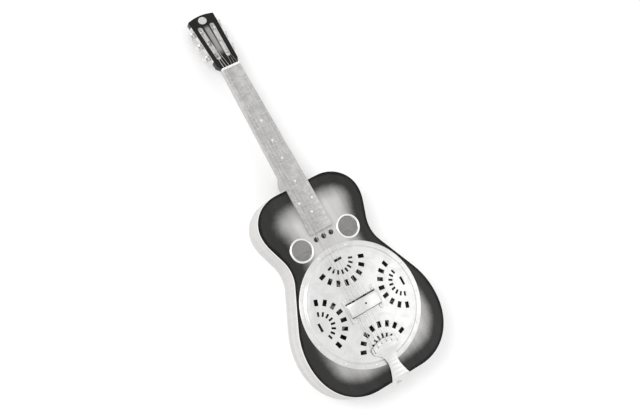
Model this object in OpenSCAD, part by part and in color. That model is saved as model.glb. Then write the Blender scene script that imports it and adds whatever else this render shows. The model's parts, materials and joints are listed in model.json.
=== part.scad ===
// Resonator guitar with a wooden body, a spun cone under a pierced metal cover, and a slotted headstock.
// The body lies on its flat back. The origin is on the back face under the centre of the cone.
// +X is the treble side, +Y runs towards the headstock and +Z comes out of the top.

/* [Body] */
// Depth of the body, from the back face to the top's surface
body_depth = 80; // [70:1:95]
// Width of the upper bout
upper_w = 278; // [270:1:290]
// Width at the waist
waist_w = 230; // [224:1:236]
// Width of the lower bout
lower_w = 369; // [360:1:380]
// Distance from the cone's centre to the neck end of the body
join_y = 318; // [314:1:322]
// Distance from the cone's centre to the tail end of the body
tail_y = 194.3; // [190:0.1:200]
// Thickness of the bent sides
side_t = 2.5; // [2:0.1:3.5]
// Thickness of the top
top_t = 3.5; // [3:0.1:4]
// Thickness of the back
back_t = 3; // [2.5:0.1:4]
// Width of the pale binding around the top and the back
binding_w = 1.2; // [1:0.1:2.4]

/* [Neck] */
// Scale length, from the nut to the saddle
scale_len = 635; // [630:1:640]
// Number of frets
fret_count = 20; // [18:1:20]
// Backward tilt of the neck
neck_angle = 1; // [0.8:0.1:1.4]
// Further backward tilt of the headstock
head_angle = 6; // [5:0.2:8]
// Width of the neck at the nut
nut_w = 47.6; // [45:0.2:49]
// Width of the neck where it meets the body
heel_w = 58.5; // [56:0.5:60]
// Thickness of the fretboard
board_t = 6.5; // [5:0.5:8]

/* [Headstock] */
// Length of the headstock behind the nut
head_len = 144.5; // [143:0.5:147]
// Thickness of the headstock with its veneer
head_t = 18; // [17:0.5:19]
// Half width of the headstock at its middle tuners
head_half = 31.4; // [31:0.1:32]
// Outward lean of the headstock's sides
head_lean = 2.3; // [2:0.1:2.5]
// Pitch of the string posts
post_pitch = 33.3; // [33:0.1:33.6]
// Teeth on each tuner's gear
gear_teeth = 14; // [12:1:16]

/* [Resonator] */
// Radius of the pierced cover plate
cover_r = 151.6; // [150:0.1:153]
// Height of the cover plate's crown above the top
dome_h = 14; // [12:0.5:16]
// Radius of the cone
cone_r = 133; // [131:0.5:133.5]
// Screws around the cover plate
cover_screw_count = 12; // [12:1:12]

/* [Hidden] */
$fn = 48;
big = 500;
fit = 0.05;

// Outline of the body
shoulder_x = 58;
shoulder_y = 245;
upper_r = 100;
upper_turn = 20;
waist_r = 80;
waist_y = 146;
lower_r = 185;
lower_turn = 26;
lower_y = -60;
corner_x = 60;
corner_n = 2.12;

// Inside the body
top_in = body_depth - top_t;
lining_w = 6;
lining_h = 14;
block_half = 36;
neck_block_l = 52;
tail_block_l = 20;
well_in_r = 134;
well_out_r = 143;
cone_drop = 22;
ledge_t = 8;
ledge_z = body_depth - cone_drop - 0.85;
well_holes = 10;

// Holes in the top
screen_x = 65.7;
screen_y = 175.2;
screen_hole_r = 27.5;
port_pitch = 20.7;
port_y = 182;
port_r = 6.3;
cover_hole_r = 136;

// Neck and headstock
board_end_y = 197;
neck_depth_nut = 20;
neck_corner = 1.115;
nut_at = scale_len - join_y;
nut_t = 5;
nut_h = board_t + 1.5;
head_at = nut_at + nut_t;
heel_len = 57;
heel_z = 8;
heel_foot_len = 16;
heel_foot_half = 17;
heel_half = 28.5;
heel_neck_z = 57;
slot_x = 14.5;
slot_w = 12;
slot_start = 24;
slot_end = 117;
slot_in = slot_x - slot_w / 2;
veneer_t = 1.5;
plate_t = 1.2;
crown_drop = 5.5;
lean_y = 68;
inlay_y = 130.5;
inlay_rx = 10.5;
inlay_ry = 9.5;
inlay_t = 0.8;
post_first = 39;
post_z = -7.5;
post_r = 3;
sleeve_r = 4.8;
gear_w = 3.5;
gear_gap = 0.2;
worm_off = 8.6;
worm_r = 1.9;
plate_x = head_half + plate_t;
gear_x = plate_x + gear_gap;
worm_x = gear_x + gear_w / 2;

// Strings, from the lowest to the highest
string_r = [0.7, 0.55, 0.45, 0.32, 0.22, 0.2];
nut_spread = 36.5;
saddle_spread = 55;
tail_spread = 64;
saddle_z = body_depth + 21.9;
tail_hole_y = 101.5;
tail_hole_bow = 0.0122;

// Cover, hand rest and tailpiece
flange_r = 139.5;
step_r = 131;
step_h = 5.2;
sheet_t = 1.2;
fan_r = 118;
rest_half = 43;
rest_mid_y = -1.5;
rest_w = 31.5;
rest_gap_x = 41;
rest_gap_y = [-19.4, 17];
rest_in = 34;
rest_out = 46.5;
rest_edge_h = 23;
rest_top_h = 31;
rest_screw_x = 38.5;
rest_screw_y = 25.5;
foot_h = 13.5;
pin_z = 56;
pin_r = 4;
tail_t = 1.6;

// ---- geometry helpers ----

function arc(cx, cy, r, a0, a1, n) =
    [for (i = [0:n]) let (a = a0 + (a1 - a0) * i / n) [cx + r * cos(a), cy + r * sin(a)]];

// Quarter of a superellipse of half axes rx and ry, from angle a0 to a1
function corner(cx, cy, rx, ry, e, a0, a1, n) =
    [for (i = [0:n]) let (a = a0 + (a1 - a0) * i / n)
        [cx + rx * pow(abs(cos(a)), 2 / e), cy + sign(sin(a)) * ry * pow(abs(sin(a)), 2 / e)]];

function mirror_x(p) = [for (i = [len(p) - 1:-1:0]) [-p[i].x, p[i].y]];

function unit(v) = v / norm(v);

// Moves a clockwise outline inwards by d
function inset(p, d) = let (n = len(p)) [for (i = [0:n - 1])
    let (
        before = unit(p[i] - p[(i + n - 1) % n]),
        after = unit(p[(i + 1) % n] - p[i]),
        mid = unit(before + after)
    ) p[i] + d / (mid * after) * [mid.y, -mid.x]];

// Treble half of the body's outline, from the neck round to the tail
function half_outline() = concat(
    corner(shoulder_x, shoulder_y, upper_w / 2 - shoulder_x, join_y - shoulder_y, 2, 90, 0, 8),
    arc(upper_w / 2 - upper_r, shoulder_y, upper_r, -6, -upper_turn, 2),
    arc(waist_w / 2 + waist_r, waist_y, waist_r, 180 - upper_turn, 180 + lower_turn, 6),
    arc(lower_w / 2 - lower_r, lower_y, lower_r, lower_turn, 6, 4),
    corner(corner_x, lower_y, lower_w / 2 - corner_x, tail_y + lower_y, corner_n, 0, -90, 9)
);
outline = concat(half_outline(), mirror_x(half_outline()));

module slab(p, z0, z1) {
    translate([0, 0, z0]) linear_extrude(z1 - z0) polygon(p);
}

// A bar of half width x whose side view is the outline p of [y, z] points
module side_profile(p, x) {
    translate([-x, 0, 0]) rotate([90, 0, 90]) linear_extrude(2 * x) polygon(p);
}

// A bar from y0 to y1 whose end view is the outline p of [x, z] points
module end_profile(p, y0, y1) {
    translate([0, y1, 0]) rotate([90, 0, 0]) linear_extrude(y1 - y0) polygon(p);
}

module ring(r_out, r_in, z0, z1) {
    difference() {
        translate([0, 0, z0]) cylinder(h = z1 - z0, r = r_out, $fn = 128);
        translate([0, 0, z0 - 1]) cylinder(h = z1 - z0 + 2, r = r_in, $fn = 128);
    }
}

module box(x0, x1, y0, y1, z0, z1) {
    translate([x0, y0, z0]) cube([x1 - x0, y1 - y0, z1 - z0]);
}

// Frame of the neck: y runs along the neck from the body, z = 0 is under the fretboard
module in_neck() {
    translate([0, join_y, body_depth]) rotate([-neck_angle, 0, 0]) children();
}

// Frame of the headstock: y runs along its face from the nut, z = 0 is its face
module in_head() {
    in_neck() translate([0, head_at, 0]) rotate([-head_angle, 0, 0]) children();
}

// Frame of the headstock's bass side (s = -1) or treble side (s = 1), which leans outwards
module in_side(s) {
    in_head() translate([s * head_half, lean_y, 0]) rotate(-s * head_lean)
        translate([-s * head_half, -lean_y, 0]) children();
}

function tilt(p, a) = [p.x, p.y * cos(a) + p.z * sin(a), p.z * cos(a) - p.y * sin(a)];
function neck_pt(p) = tilt(p, neck_angle) + [0, join_y, body_depth];
function head_pt(p) = neck_pt(tilt(p, head_angle) + [0, head_at, 0]);
function lean(p, s) = let (c = cos(head_lean), n = s * sin(head_lean))
    [c * p.x + n * p.y, c * p.y - n * p.x, p.z];
function side_pt(s, p) = head_pt(lean(p - [s * head_half, lean_y, 0], s) + [s * head_half, lean_y, 0]);
function side_x(y) = head_half + (y - lean_y) * tan(head_lean);

function fret_y(n) = scale_len * pow(2, -n / 12) - join_y;
function board_half(y) = heel_w / 2 + (nut_w - heel_w) / 2 * y / nut_at;

// Height of the cover's outer surface above the top at radius r
function dome(r) = dome_h - (dome_h - step_h) * pow(r / step_r, 2);

// Tuners 1 to 3 are on the bass side and 4 to 6 on the treble side
function side_of(i) = i <= 3 ? -1 : 1;
function post_y(i) = post_first + post_pitch * (i <= 3 ? i - 1 : 6 - i);
function string_x(i, spread) = spread * ((i - 1) / 5 - 0.5);
function post_string_x(i) = side_of(i) * ([17.5, 15, 12.2][(post_y(i) - post_first) / post_pitch]);

module at_post(i) {
    in_side(side_of(i)) translate([0, post_y(i), post_z]) children();
}

module at_worm(i) {
    in_side(side_of(i)) translate([side_of(i) * worm_x, post_y(i) + worm_off, 0]) children();
}

// ---- body ----

module top_plate() {
    color("saddlebrown") difference() {
        slab(inset(outline, binding_w), top_in, body_depth);
        translate([0, 0, top_in - 1]) cylinder(h = top_t + 2, r = cover_hole_r, $fn = 128);
        for (s = [-1, 1]) translate([s * screen_x, screen_y, top_in - 1])
            cylinder(h = top_t + 2, r = screen_hole_r);
        for (s = [-1:1]) translate([s * port_pitch, port_y, top_in - 1])
            cylinder(h = top_t + 2, r = port_r);
    }
}

module back_plate() {
    color("burlywood") slab(inset(outline, binding_w), 0, back_t);
}

module bent_side(s) {
    color("burlywood") difference() {
        intersection() {
            slab(outline, back_t, top_in);
            box(min(0, s * big), max(0, s * big), -big, big, 0, body_depth);
        }
        slab(inset(outline, side_t), 0, body_depth);
        pin_hole();
    }
}

module pin_hole() {
    translate([0, -tail_y - 5, pin_z]) rotate([-90, 0, 0]) cylinder(h = 20, r = pin_r + fit);
}

module lining_band(z0, z1) {
    difference() {
        slab(inset(outline, side_t), z0, z1);
        slab(inset(outline, side_t + lining_w), z0 - 1, z1 + 1);
        box(-block_half, block_half, -big, big, z0 - 1, z1 + 1);
    }
}

module linings() {
    color("tan") {
        lining_band(back_t, back_t + lining_h);
        lining_band(top_in - lining_h, top_in);
    }
}

module neck_block() {
    y1 = join_y - side_t;
    color("tan") box(-block_half, block_half, y1 - neck_block_l, y1, back_t, top_in);
}

module tail_block() {
    color("tan") difference() {
        box(-block_half, block_half, side_t - tail_y, side_t - tail_y + tail_block_l, back_t, top_in);
        pin_hole();
    }
}

module soundwell() {
    color("tan") difference() {
        union() {
            ring(well_out_r, well_in_r, back_t, top_in);
            ring(well_in_r + 1, well_in_r - 8, ledge_z - ledge_t, ledge_z);
        }
        for (a = [0:well_holes - 1])
            rotate((a + 0.5) * 360 / well_holes)
                translate([0, well_in_r - 10, 32]) rotate([-90, 0, 0]) cylinder(h = 30, r = 13);
    }
}

module braces() {
    brace_w = 8;
    brace_h = 12;
    color("tan") {
        for (b = [[232, 116], [165, 92], [60, 112], [-60, 112], [-165, 118]])
            box(-b[1], b[1], b[0] - brace_w / 2, b[0] + brace_w / 2, back_t, back_t + brace_h);
        box(-116, 116, 232 - brace_w / 2, 232 + brace_w / 2, top_in - brace_h, top_in);
    }
}

module binding() {
    color("ivory") for (z = [[0, back_t], [top_in, body_depth]]) difference() {
        slab(outline, z[0], z[1]);
        slab(inset(outline, binding_w), z[0] - 1, z[1] + 1);
    }
}

// ---- neck ----

// Square neck: flat sides and back, and a cone about the middle line that rounds the two back edges
module neck_shaft() {
    ends = [-5, head_at];
    deep = [for (y = ends) neck_depth_nut * board_half(y) / board_half(head_at)];
    in_neck() intersection() {
        translate([0, ends[0], 0]) rotate([-90, 0, 0])
            cylinder(h = ends[1] - ends[0], r1 = neck_corner * board_half(ends[0]),
                r2 = neck_corner * board_half(ends[1]), $fn = 96);
        side_profile([[ends[0], 0], [ends[0], -deep[0]], [ends[1], -deep[1]], [ends[1], 0]], big);
        slab([[-board_half(ends[0]), ends[0]], [-board_half(ends[1]), ends[1]],
            [board_half(ends[1]), ends[1]], [board_half(ends[0]), ends[0]]], -big, 0);
    }
}

module heel() {
    far = join_y + heel_len;
    rise = body_depth - 2 - heel_z;
    sweep = [for (p = arc(0, 0, 1, 180, 90, 8))
        [far + (heel_len - heel_foot_len) * p.x, heel_z + (heel_neck_z - heel_z) * p.y]];
    side = concat([[join_y, body_depth - 2], [join_y, heel_z]], sweep, [[far, body_depth - 4]]);
    right = [for (i = [0:6])
        [heel_foot_half + (heel_half - heel_foot_half) * sqrt(i / 6), heel_z + rise * i / 6]];
    intersection() {
        side_profile(side, heel_w / 2);
        end_profile(concat(right, mirror_x(right)), join_y, far + 5);
        slab(heel_nose(), 0, body_depth);
    }
}

// Plan of the heel, rounded away from the body
function heel_nose() = [for (p = arc(0, 0, 1, 0, 180, 14))
    [heel_half * p.x, join_y + (heel_len + 1) * p.y]];

module head_outline(z0, z1) {
    flare_y = 15;
    corner_y = head_len - crown_drop;
    right = concat([[nut_w / 2, 0]],
        [for (i = [1:5]) let (y = flare_y * i / 5)
            [nut_w / 2 + (side_x(flare_y) - nut_w / 2) * (1 - cos(180 * i / 5)) / 2, y]],
        [[side_x(corner_y), corner_y]],
        [for (x = [24, 12]) [x, head_len - crown_drop * pow(x / side_x(corner_y), 2)]]);
    slab(concat(mirror_x(right), right, [[0, head_len]]), z0, z1);
}

module head_slots() {
    mid_l = slot_end - slot_start - slot_w;
    for (s = [-1, 1]) in_side(s) translate([s * slot_x, slot_start + slot_w / 2, -head_t - 1]) {
        translate([-slot_w / 2, 0, 0]) cube([slot_w, mid_l, head_t + 2]);
        for (y = [0, mid_l]) translate([0, y, 0]) cylinder(h = head_t + 2, r = slot_w / 2);
    }
}

module post_bores() {
    for (i = [1:6]) at_post(i) rotate([0, side_of(i) * 90, 0])
        translate([0, 0, slot_in - 4.5]) cylinder(h = 40, r = post_r + fit);
}

module plate_screw_spots() {
    for (s = [-1, 1], y = [-10.5, post_pitch / 2 + 1.2, 3 * post_pitch / 2 + 1.2, 2 * post_pitch + 16.8])
        in_side(s) translate([s * plate_x, post_first + y, post_z]) rotate([0, s * 90, 0]) children();
}

module neck() {
    color("wheat") difference() {
        union() {
            difference() {
                neck_shaft();
                box(-big, big, 0, join_y, -big, big);
            }
            heel();
            in_head() head_outline(-head_t, -veneer_t);
        }
        head_slots();
        post_bores();
        plate_screw_spots() translate([0, 0, -9]) cylinder(h = 12, r = 1.3);
        in_neck() box(-3, 3, 6, nut_at - 8, -9, 1);
        in_neck() box(-big, big, nut_at, head_at, 0, big);
        in_head() box(-big, big, 0, big, -veneer_t, big);
    }
}

module heel_cap() {
    color("ivory") intersection() {
        slab(heel_nose(), heel_z - 1.5, heel_z);
        box(-heel_foot_half, heel_foot_half, join_y, join_y + heel_foot_len, 0, body_depth);
    }
}

module neck_bar() {
    color("gray") in_neck() box(-2.9, 2.9, 6.1, nut_at - 8.1, -8.9, -0.1);
}

module head_veneer() {
    color("black") difference() {
        in_head() head_outline(-veneer_t, 0);
        head_slots();
        in_head() inlay_shape(2);
    }
}

// Plain oval inlay, set into the upper part of the headstock's face
module inlay_shape(h) {
    translate([0, inlay_y, -inlay_t]) linear_extrude(h)
        polygon([for (p = arc(0, 0, 1, 0, 352.5, 47)) [inlay_rx * p.x, inlay_ry * p.y]]);
}

module head_inlay() {
    color("white") in_head() inlay_shape(inlay_t);
}

module fret_shape(n, tang_only) {
    y = fret_y(n);
    half = board_half(y) - 0.4;
    translate([0, y, board_t]) {
        translate([-half, -0.3, -2]) cube([2 * half, 0.6, tang_only ? 3 : 2]);
        if (!tang_only) intersection() {
            translate([-half, 0, -0.5]) rotate([0, 90, 0]) cylinder(h = 2 * half, r = 1.5, $fn = 24);
            translate([-half, -5, 0]) cube([2 * half, 10, 5]);
        }
    }
}

module dot_spots() {
    for (n = [5, 7, 9, 12, 17])
        translate([0, (fret_y(n) + fret_y(n - 1)) / 2, board_t - 1.5]) children();
    for (s = [-1, 1])
        translate([s * 17.8, (fret_y(15) + fret_y(14)) / 2, board_t - 1.5]) children();
}

module fretboard() {
    y0 = board_end_y - join_y;
    color("silver") in_neck() difference() {
        intersection() {
            slab([[-board_half(y0), y0], [-board_half(nut_at), nut_at],
                [board_half(nut_at), nut_at], [board_half(y0), y0]], -20, board_t);
            side_profile([[y0, y0 * tan(neck_angle)], [0, 0], [nut_at, 0], [nut_at, board_t],
                [y0, board_t]], big);
        }
        for (n = [1:fret_count]) fret_shape(n, true);
        dot_spots() cylinder(h = 5, r = 3);
    }
}

module frets() {
    color("gainsboro") in_neck() for (n = [1:fret_count]) fret_shape(n, false);
}

module position_dots() {
    color("white") in_neck() dot_spots() cylinder(h = 1.5, r = 3);
}

module nut() {
    color("ivory") in_neck() difference() {
        box(-nut_w / 2, nut_w / 2, nut_at, head_at, 0, nut_h + 0.8);
        for (i = [1:6]) let (x = string_x(i, nut_spread), r = string_r[i - 1] + fit)
            box(x - r, x + r, nut_at - 1, head_at + 1, nut_h, nut_h + 3);
    }
}

// ---- resonator ----

module cover_shell() {
    n = 7;
    outside = [for (i = [0:n]) let (r = step_r * (1 - i / n)) [r, dome(r)]];
    inside = [for (i = [n:-1:0]) let (r = step_r * (1 - i / n)) [r, dome(r) - sheet_t]];
    rim = [[cover_r, 0], [cover_r, sheet_t], [flange_r, sheet_t], [flange_r - 2.2, step_h - 0.9]];
    profile = concat(rim, outside, inside, [[flange_r - 3, 3], [flange_r - 1.2, 0]]);
    translate([0, 0, body_depth]) rotate_extrude($fn = 128) polygon(profile);
}

module fan_holes() {
    for (q = [0:90:270]) rotate(q) translate([0, fan_r, 0]) {
        for (k = [-3.5:1:3.5]) rotate(k * 20.3) {
            translate([0, -58, 0]) cube([9.5, 15, 60], center = true);
            translate([0, -31, 0]) cube([5, 11, 60], center = true);
        }
        cube([21, 6, 60], center = true);
    }
}

module cover_screw_spots() {
    for (k = [0:cover_screw_count - 1]) rotate((k + 0.5) * 360 / cover_screw_count)
        translate([0, 144.8, body_depth]) children();
}

module rest_screw_spots() {
    for (sx = [-1, 1], sy = [-1, 1])
        translate([sx * rest_screw_x, rest_mid_y + sy * rest_screw_y, body_depth]) children();
}

module cover_plate() {
    color("lightgray") difference() {
        cover_shell();
        translate([0, 0, body_depth + 10]) fan_holes();
        box(-rest_gap_x, rest_gap_x, rest_gap_y[0], rest_gap_y[1], body_depth, body_depth + 20);
        cover_screw_spots() translate([0, 0, -1]) cylinder(h = 4, r = 1.6);
        rest_screw_spots() cylinder(h = 16, r = 1.6);
    }
}

module cover_screws() {
    color("silver") cover_screw_spots() {
        translate([0, 0, sheet_t]) intersection() {
            cylinder(h = 1.2, r = 2.7);
            translate([0, 0, -3.4]) sphere(r = 4.6);
        }
        translate([0, 0, 0.05]) cylinder(h = sheet_t, r = 1.5);
    }
}

module hand_rest() {
    n = 10;
    over = [for (i = [0:n]) let (x = -rest_half + 2 * rest_half * i / n)
        [x, rest_top_h - (rest_top_h - rest_edge_h) * pow(x / rest_half, 2)]];
    under = [for (i = [n:-1:0]) let (x = (-rest_half + 2 * rest_half * i / n) * (1 - sheet_t / rest_half))
        [x, rest_top_h - (rest_top_h - rest_edge_h) * pow(x / rest_half, 2) - sheet_t]];
    profile = concat([[-rest_half, foot_h]], over, [[rest_half, foot_h], [rest_half - sheet_t, foot_h]],
        under, [[sheet_t - rest_half, foot_h]]);
    low = rest_gap_y[0] - 1.2;
    high = rest_gap_y[1] + 1.2;
    notch_x = rest_gap_x + 0.8;
    foot = [[rest_in, rest_mid_y + 31], [rest_out, rest_mid_y + 31],
        [rest_out, rest_mid_y - 31], [rest_in, rest_mid_y - 31],
        [rest_in, low], [notch_x, low], [notch_x, high], [rest_in, high]];
    foot_z = body_depth + foot_h;
    color("lightgray") difference() {
        union() {
            translate([0, 0, body_depth])
                end_profile(profile, rest_mid_y - rest_w / 2, rest_mid_y + rest_w / 2);
            for (s = [0, 1]) mirror([s, 0, 0]) slab(foot, foot_z, foot_z + sheet_t);
        }
        translate([0, rest_mid_y, body_depth]) cylinder(h = 60, r = 1.8);
        rest_screw_spots() cylinder(h = 20, r = 1.6);
    }
}

module hand_rest_screws() {
    color("silver") rest_screw_spots() {
        translate([0, 0, foot_h + sheet_t]) cylinder(h = 1.1, r = 2.5);
        translate([0, 0, foot_h - 4]) cylinder(h = 4 + sheet_t, r = 1.5);
    }
}

module cone() {
    z0 = -cone_drop;
    top = [[cone_r, z0], [126, z0], [70, z0 - 20], [9, -15], [1.7, -15]];
    under = [for (i = [len(top) - 1:-1:0]) [top[i].x, top[i].y - 0.8]];
    color("silver") translate([0, 0, body_depth]) rotate_extrude($fn = 128) polygon(concat(top, under));
}

module spider() {
    z_foot = -cone_drop;
    leg = [[10, -6], [10, 4], [40, 1], [110, -9], [126, -14], [131, z_foot + 1.5], [131, z_foot],
        [127, z_foot], [123, -17], [108, -13.5], [40, -5]];
    color("darkgray") translate([0, 0, body_depth]) difference() {
        union() {
            for (k = [0:7]) rotate(22.5 + 45 * k) translate([0, -3, 0])
                rotate([90, 0, 0]) translate([0, 0, -6]) linear_extrude(6) polygon(leg);
            translate([0, 0, -8]) cylinder(h = 13, r = 15);
            box(-32.5, 32.5, -4, 4, 3, 12);
        }
        translate([0, 0, -10]) cylinder(h = 30, r = 1.7);
        box(-40, 40, -1.55, 1.55, 6, 15);
    }
}

module saddles() {
    color("ivory") for (s = [-1, 1])
        box(min(s * 3.6, s * 32), max(s * 3.6, s * 32), -1.5, 1.5, body_depth + 6, saddle_z);
}

module tension_screw() {
    color("silver") translate([0, 0, body_depth]) {
        translate([0, 0, -18]) cylinder(h = 24, r = 1.6);
        translate([0, 0, 6]) cylinder(h = 2, r = 1.5);
    }
}

function tail_hole(i) = let (x = string_x(i, tail_spread)) [x, -tail_hole_y - tail_hole_bow * x * x];

// Height of the tailpiece's upper surface above the top at the head's string holes
function tail_z(y) = 13.6 + (y + 92) * 1.4 / 26;

module tailpiece() {
    over = [[-92, 13.6], [-118, 12.2], [-152, 6.6], [-190, 3.4], [-194.6, 1.4], [-tail_y - tail_t, -2],
        [-tail_y - tail_t, -38]];
    under = [[-tail_y, -38], [-tail_y, 0], [-190, 3.4 - tail_t], [-152, 6.6 - tail_t],
        [-118, 12.2 - tail_t], [-92, 13.6 - tail_t]];
    front = arc(0, -162.4, 69.4, 90, 57.3, 5);
    right = concat(front, [[37.5, -115], [33, -121], [24, -127], [17, -136], [13.5, -147], [13.5, -155],
        [16, -168], [21, -183], [27, -tail_y - 3]]);
    skirt = [[27, 20], [27, -12], [25, -22], [19, -31], [10, -37], [0, -38]];
    color("gainsboro") difference() {
        intersection() {
            translate([0, 0, body_depth]) side_profile(concat(over, under), 40);
            slab(concat(right, mirror_x([for (i = [1:len(right) - 1]) right[i]])), 0, big);
            translate([0, 0, body_depth]) union() {
                end_profile(concat(skirt, mirror_x([for (i = [0:4]) skirt[i]])), -big, big);
                box(-40, 40, -185, 0, -10, 30);
            }
        }
        for (i = [1:6]) translate(concat(tail_hole(i), [body_depth])) cylinder(h = 30, r = 1.5, $fn = 24);
        pin_hole();
    }
}

module end_pin() {
    plate_y = -tail_y - tail_t;
    color("ivory") translate([0, plate_y, pin_z]) rotate([90, 0, 0]) {
        rotate_extrude($fn = 64) polygon([[0, 0], [6.5, 0], [6, 2], [4.2, 4], [4.2, 6], [7, 8], [7.5, 9.5],
            [7, 11], [4.5, 12.3], [0, 12.8]]);
        translate([0, 0, -15]) cylinder(h = 15, r = pin_r);
    }
}

module screen_rings() {
    color("white") for (s = [-1, 1]) translate([s * screen_x, screen_y, body_depth])
        rotate_extrude($fn = 96) polygon([[24.5, -2.6], [27.3, -2.6], [27.3, 0], [30, 0], [30, 0.8],
            [28.6, 2], [25.4, 2], [24.5, 1.2]]);
}

module screen_meshes() {
    color("gray") for (s = [-1, 1]) translate([s * screen_x, screen_y, body_depth - 3.4])
        cylinder(h = 0.8, r = 27.2, $fn = 96);
}

// ---- strings ----

// One tube through the points p, whose radius at each point is in the list r
module tube(p, r) {
    n = len(p);
    sides = 8;
    function step(i) = i < 0 || i > n - 2 ? [0, 0, 0] : unit(p[i + 1] - p[i]);
    function along(i) = unit(step(i - 1) + step(i));
    rings = [for (i = [0:n - 1]) let (t = along(i), side = unit([1, 0, 0] - t * t.x), up = cross(t, side))
        for (k = [0:sides - 1]) p[i] + r[i] * (cos(k * 360 / sides) * side + sin(k * 360 / sides) * up)];
    walls = [for (i = [0:n - 2], k = [0:sides - 1]) let (next = (k + 1) % sides)
        [i * sides + k, (i + 1) * sides + k, (i + 1) * sides + next, i * sides + next]];
    polyhedron(rings, concat([[for (k = [0:sides - 1]) k]], walls,
        [[for (k = [sides - 1:-1:0]) (n - 1) * sides + k]]));
}

// String i, from its ball under the tailpiece, over the saddle and the nut, to just above its roller
module string(i) {
    r = string_r[i - 1];
    hole = tail_hole(i);
    tail = [hole.x, hole.y, body_depth + tail_z(hole.y) + r + 0.15];
    ball = tail - [0, 0, tail_t + r + 0.6];
    saddle = [string_x(i, saddle_spread), 0, saddle_z + r + 0.15];
    nut_a = neck_pt([string_x(i, nut_spread), nut_at, nut_h + r]);
    nut_b = neck_pt([string_x(i, nut_spread), head_at, nut_h + r]);
    post = side_pt(side_of(i), [post_string_x(i), post_y(i) - 0.6, post_z + sleeve_r + r + 0.3]);
    path = [tail - [0, 0, r], tail + [0, r, 0], saddle, nut_a, nut_b, post];
    tube(concat([for (z = [-2, -1.5, -0.6, 0]) ball + [0, 0, z]], path),
        concat([0.9, 1.8, 1.8, r], [for (q = path) r]));
}

module wound_strings() {
    color("tan") for (i = [1:4]) string(i);
}

module plain_strings() {
    color("silver") for (i = [5:6]) string(i);
}

// ---- tuners ----

module tuner_plates() {
    tab_x = worm_x - plate_x + 3;
    color("silver") difference() {
        union() {
            for (s = [-1, 1]) in_side(s)
                translate([s * (head_half + plate_t / 2) - plate_t / 2, post_first - 14, post_z - 7.5])
                    cube([plate_t, 2 * post_pitch + 34, 15]);
            for (i = [1:6]) at_worm(i) for (z = [post_z + 6.3, post_z - 7.5])
                translate([side_of(i) * (plate_x + tab_x / 2 - worm_x) - tab_x / 2, -3.5, z])
                    cube([tab_x, 7, 1.2]);
        }
        post_bores();
        plate_screw_spots() translate([0, 0, -3]) cylinder(h = 6, r = 1.3);
        for (i = [1:6]) at_worm(i) translate([0, 0, -head_t - 5])
            cylinder(h = head_t + 10, r = worm_r + fit);
    }
}

module plate_screws() {
    color("gainsboro") plate_screw_spots() {
        cylinder(h = 0.9, r = 2.2, $fn = 24);
        translate([0, 0, -8.5]) cylinder(h = 8.5, r = 1.25, $fn = 24);
    }
}

// Shaft of a tuner, square to the headstock's face, with its worm beside the gear
module worm(i) {
    color("silver") at_worm(i) {
        translate([0, 0, -36]) cylinder(h = 37.6, r = worm_r);
        translate([0, 0, post_z + 7.6]) cylinder(h = 0.8, r = 3);
        translate([0, 0, post_z - 9.2]) cylinder(h = 1.5, r = 3);
    }
}

module button(i) {
    color("ivory") at_worm(i) translate([0, 0, -38]) difference() {
        intersection() {
            translate([0, 0, 9]) rotate([0, 90, 0]) cylinder(h = 10, r = 9.5, center = true);
            translate([0, 0, 9]) cube([10, 17, 18], center = true);
        }
        translate([0, 0, 2]) cylinder(h = 20, r = worm_r);
    }
}

module gear(i) {
    tooth = 360 / gear_teeth;
    wheel = [for (k = [0:gear_teeth - 1], c = [[-0.3, 4.9], [-0.14, 6.3], [0.14, 6.3], [0.3, 4.9]])
        [c[1] * cos((k + c[0]) * tooth), c[1] * sin((k + c[0]) * tooth)]];
    color("goldenrod") at_post(i) rotate([0, side_of(i) * 90, 0]) translate([0, 0, gear_x]) {
        difference() {
            linear_extrude(gear_w) polygon(wheel);
            translate([0, 0, -1]) cylinder(h = gear_w, r = post_r);
        }
        translate([0, 0, gear_w]) cylinder(h = 1, r = 2.2, $fn = 24);
    }
}

module roller(i) {
    color("white") at_post(i) rotate([0, side_of(i) * 90, 0]) {
        translate([0, 0, slot_in - 4]) cylinder(h = gear_x + gear_w + 3 - slot_in, r = post_r);
        translate([0, 0, slot_in + 0.3]) cylinder(h = slot_w - 0.6, r = sleeve_r);
    }
}

top_plate();
back_plate();
bent_side(-1);  // bass_side
bent_side(1);  // treble_side
linings();
neck_block();
tail_block();
soundwell();
braces();
binding();
neck();
heel_cap();
neck_bar();
head_veneer();
fretboard();
frets();
position_dots();
head_inlay();
nut();
cover_plate();
cover_screws();
hand_rest();
hand_rest_screws();
cone();
spider();
saddles();
tension_screw();
tailpiece();
end_pin();
screen_rings();
screen_meshes();
wound_strings();
plain_strings();
tuner_plates();
plate_screws();
for (i = [1:6]) {
    worm(i);
    button(i);
    gear(i);
    roller(i);
}
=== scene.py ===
"""Looks of a resonator guitar: wooden body with a sunburst top, pierced metal cover, slotted headstock.

Sizes are in millimetres in the row frame: origin on the back under the cone, +Y to the headstock, +Z out of the top.
"""

import json
import math

import bmesh
import bpy
import numpy as np
from mathutils import Matrix, Vector


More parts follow.
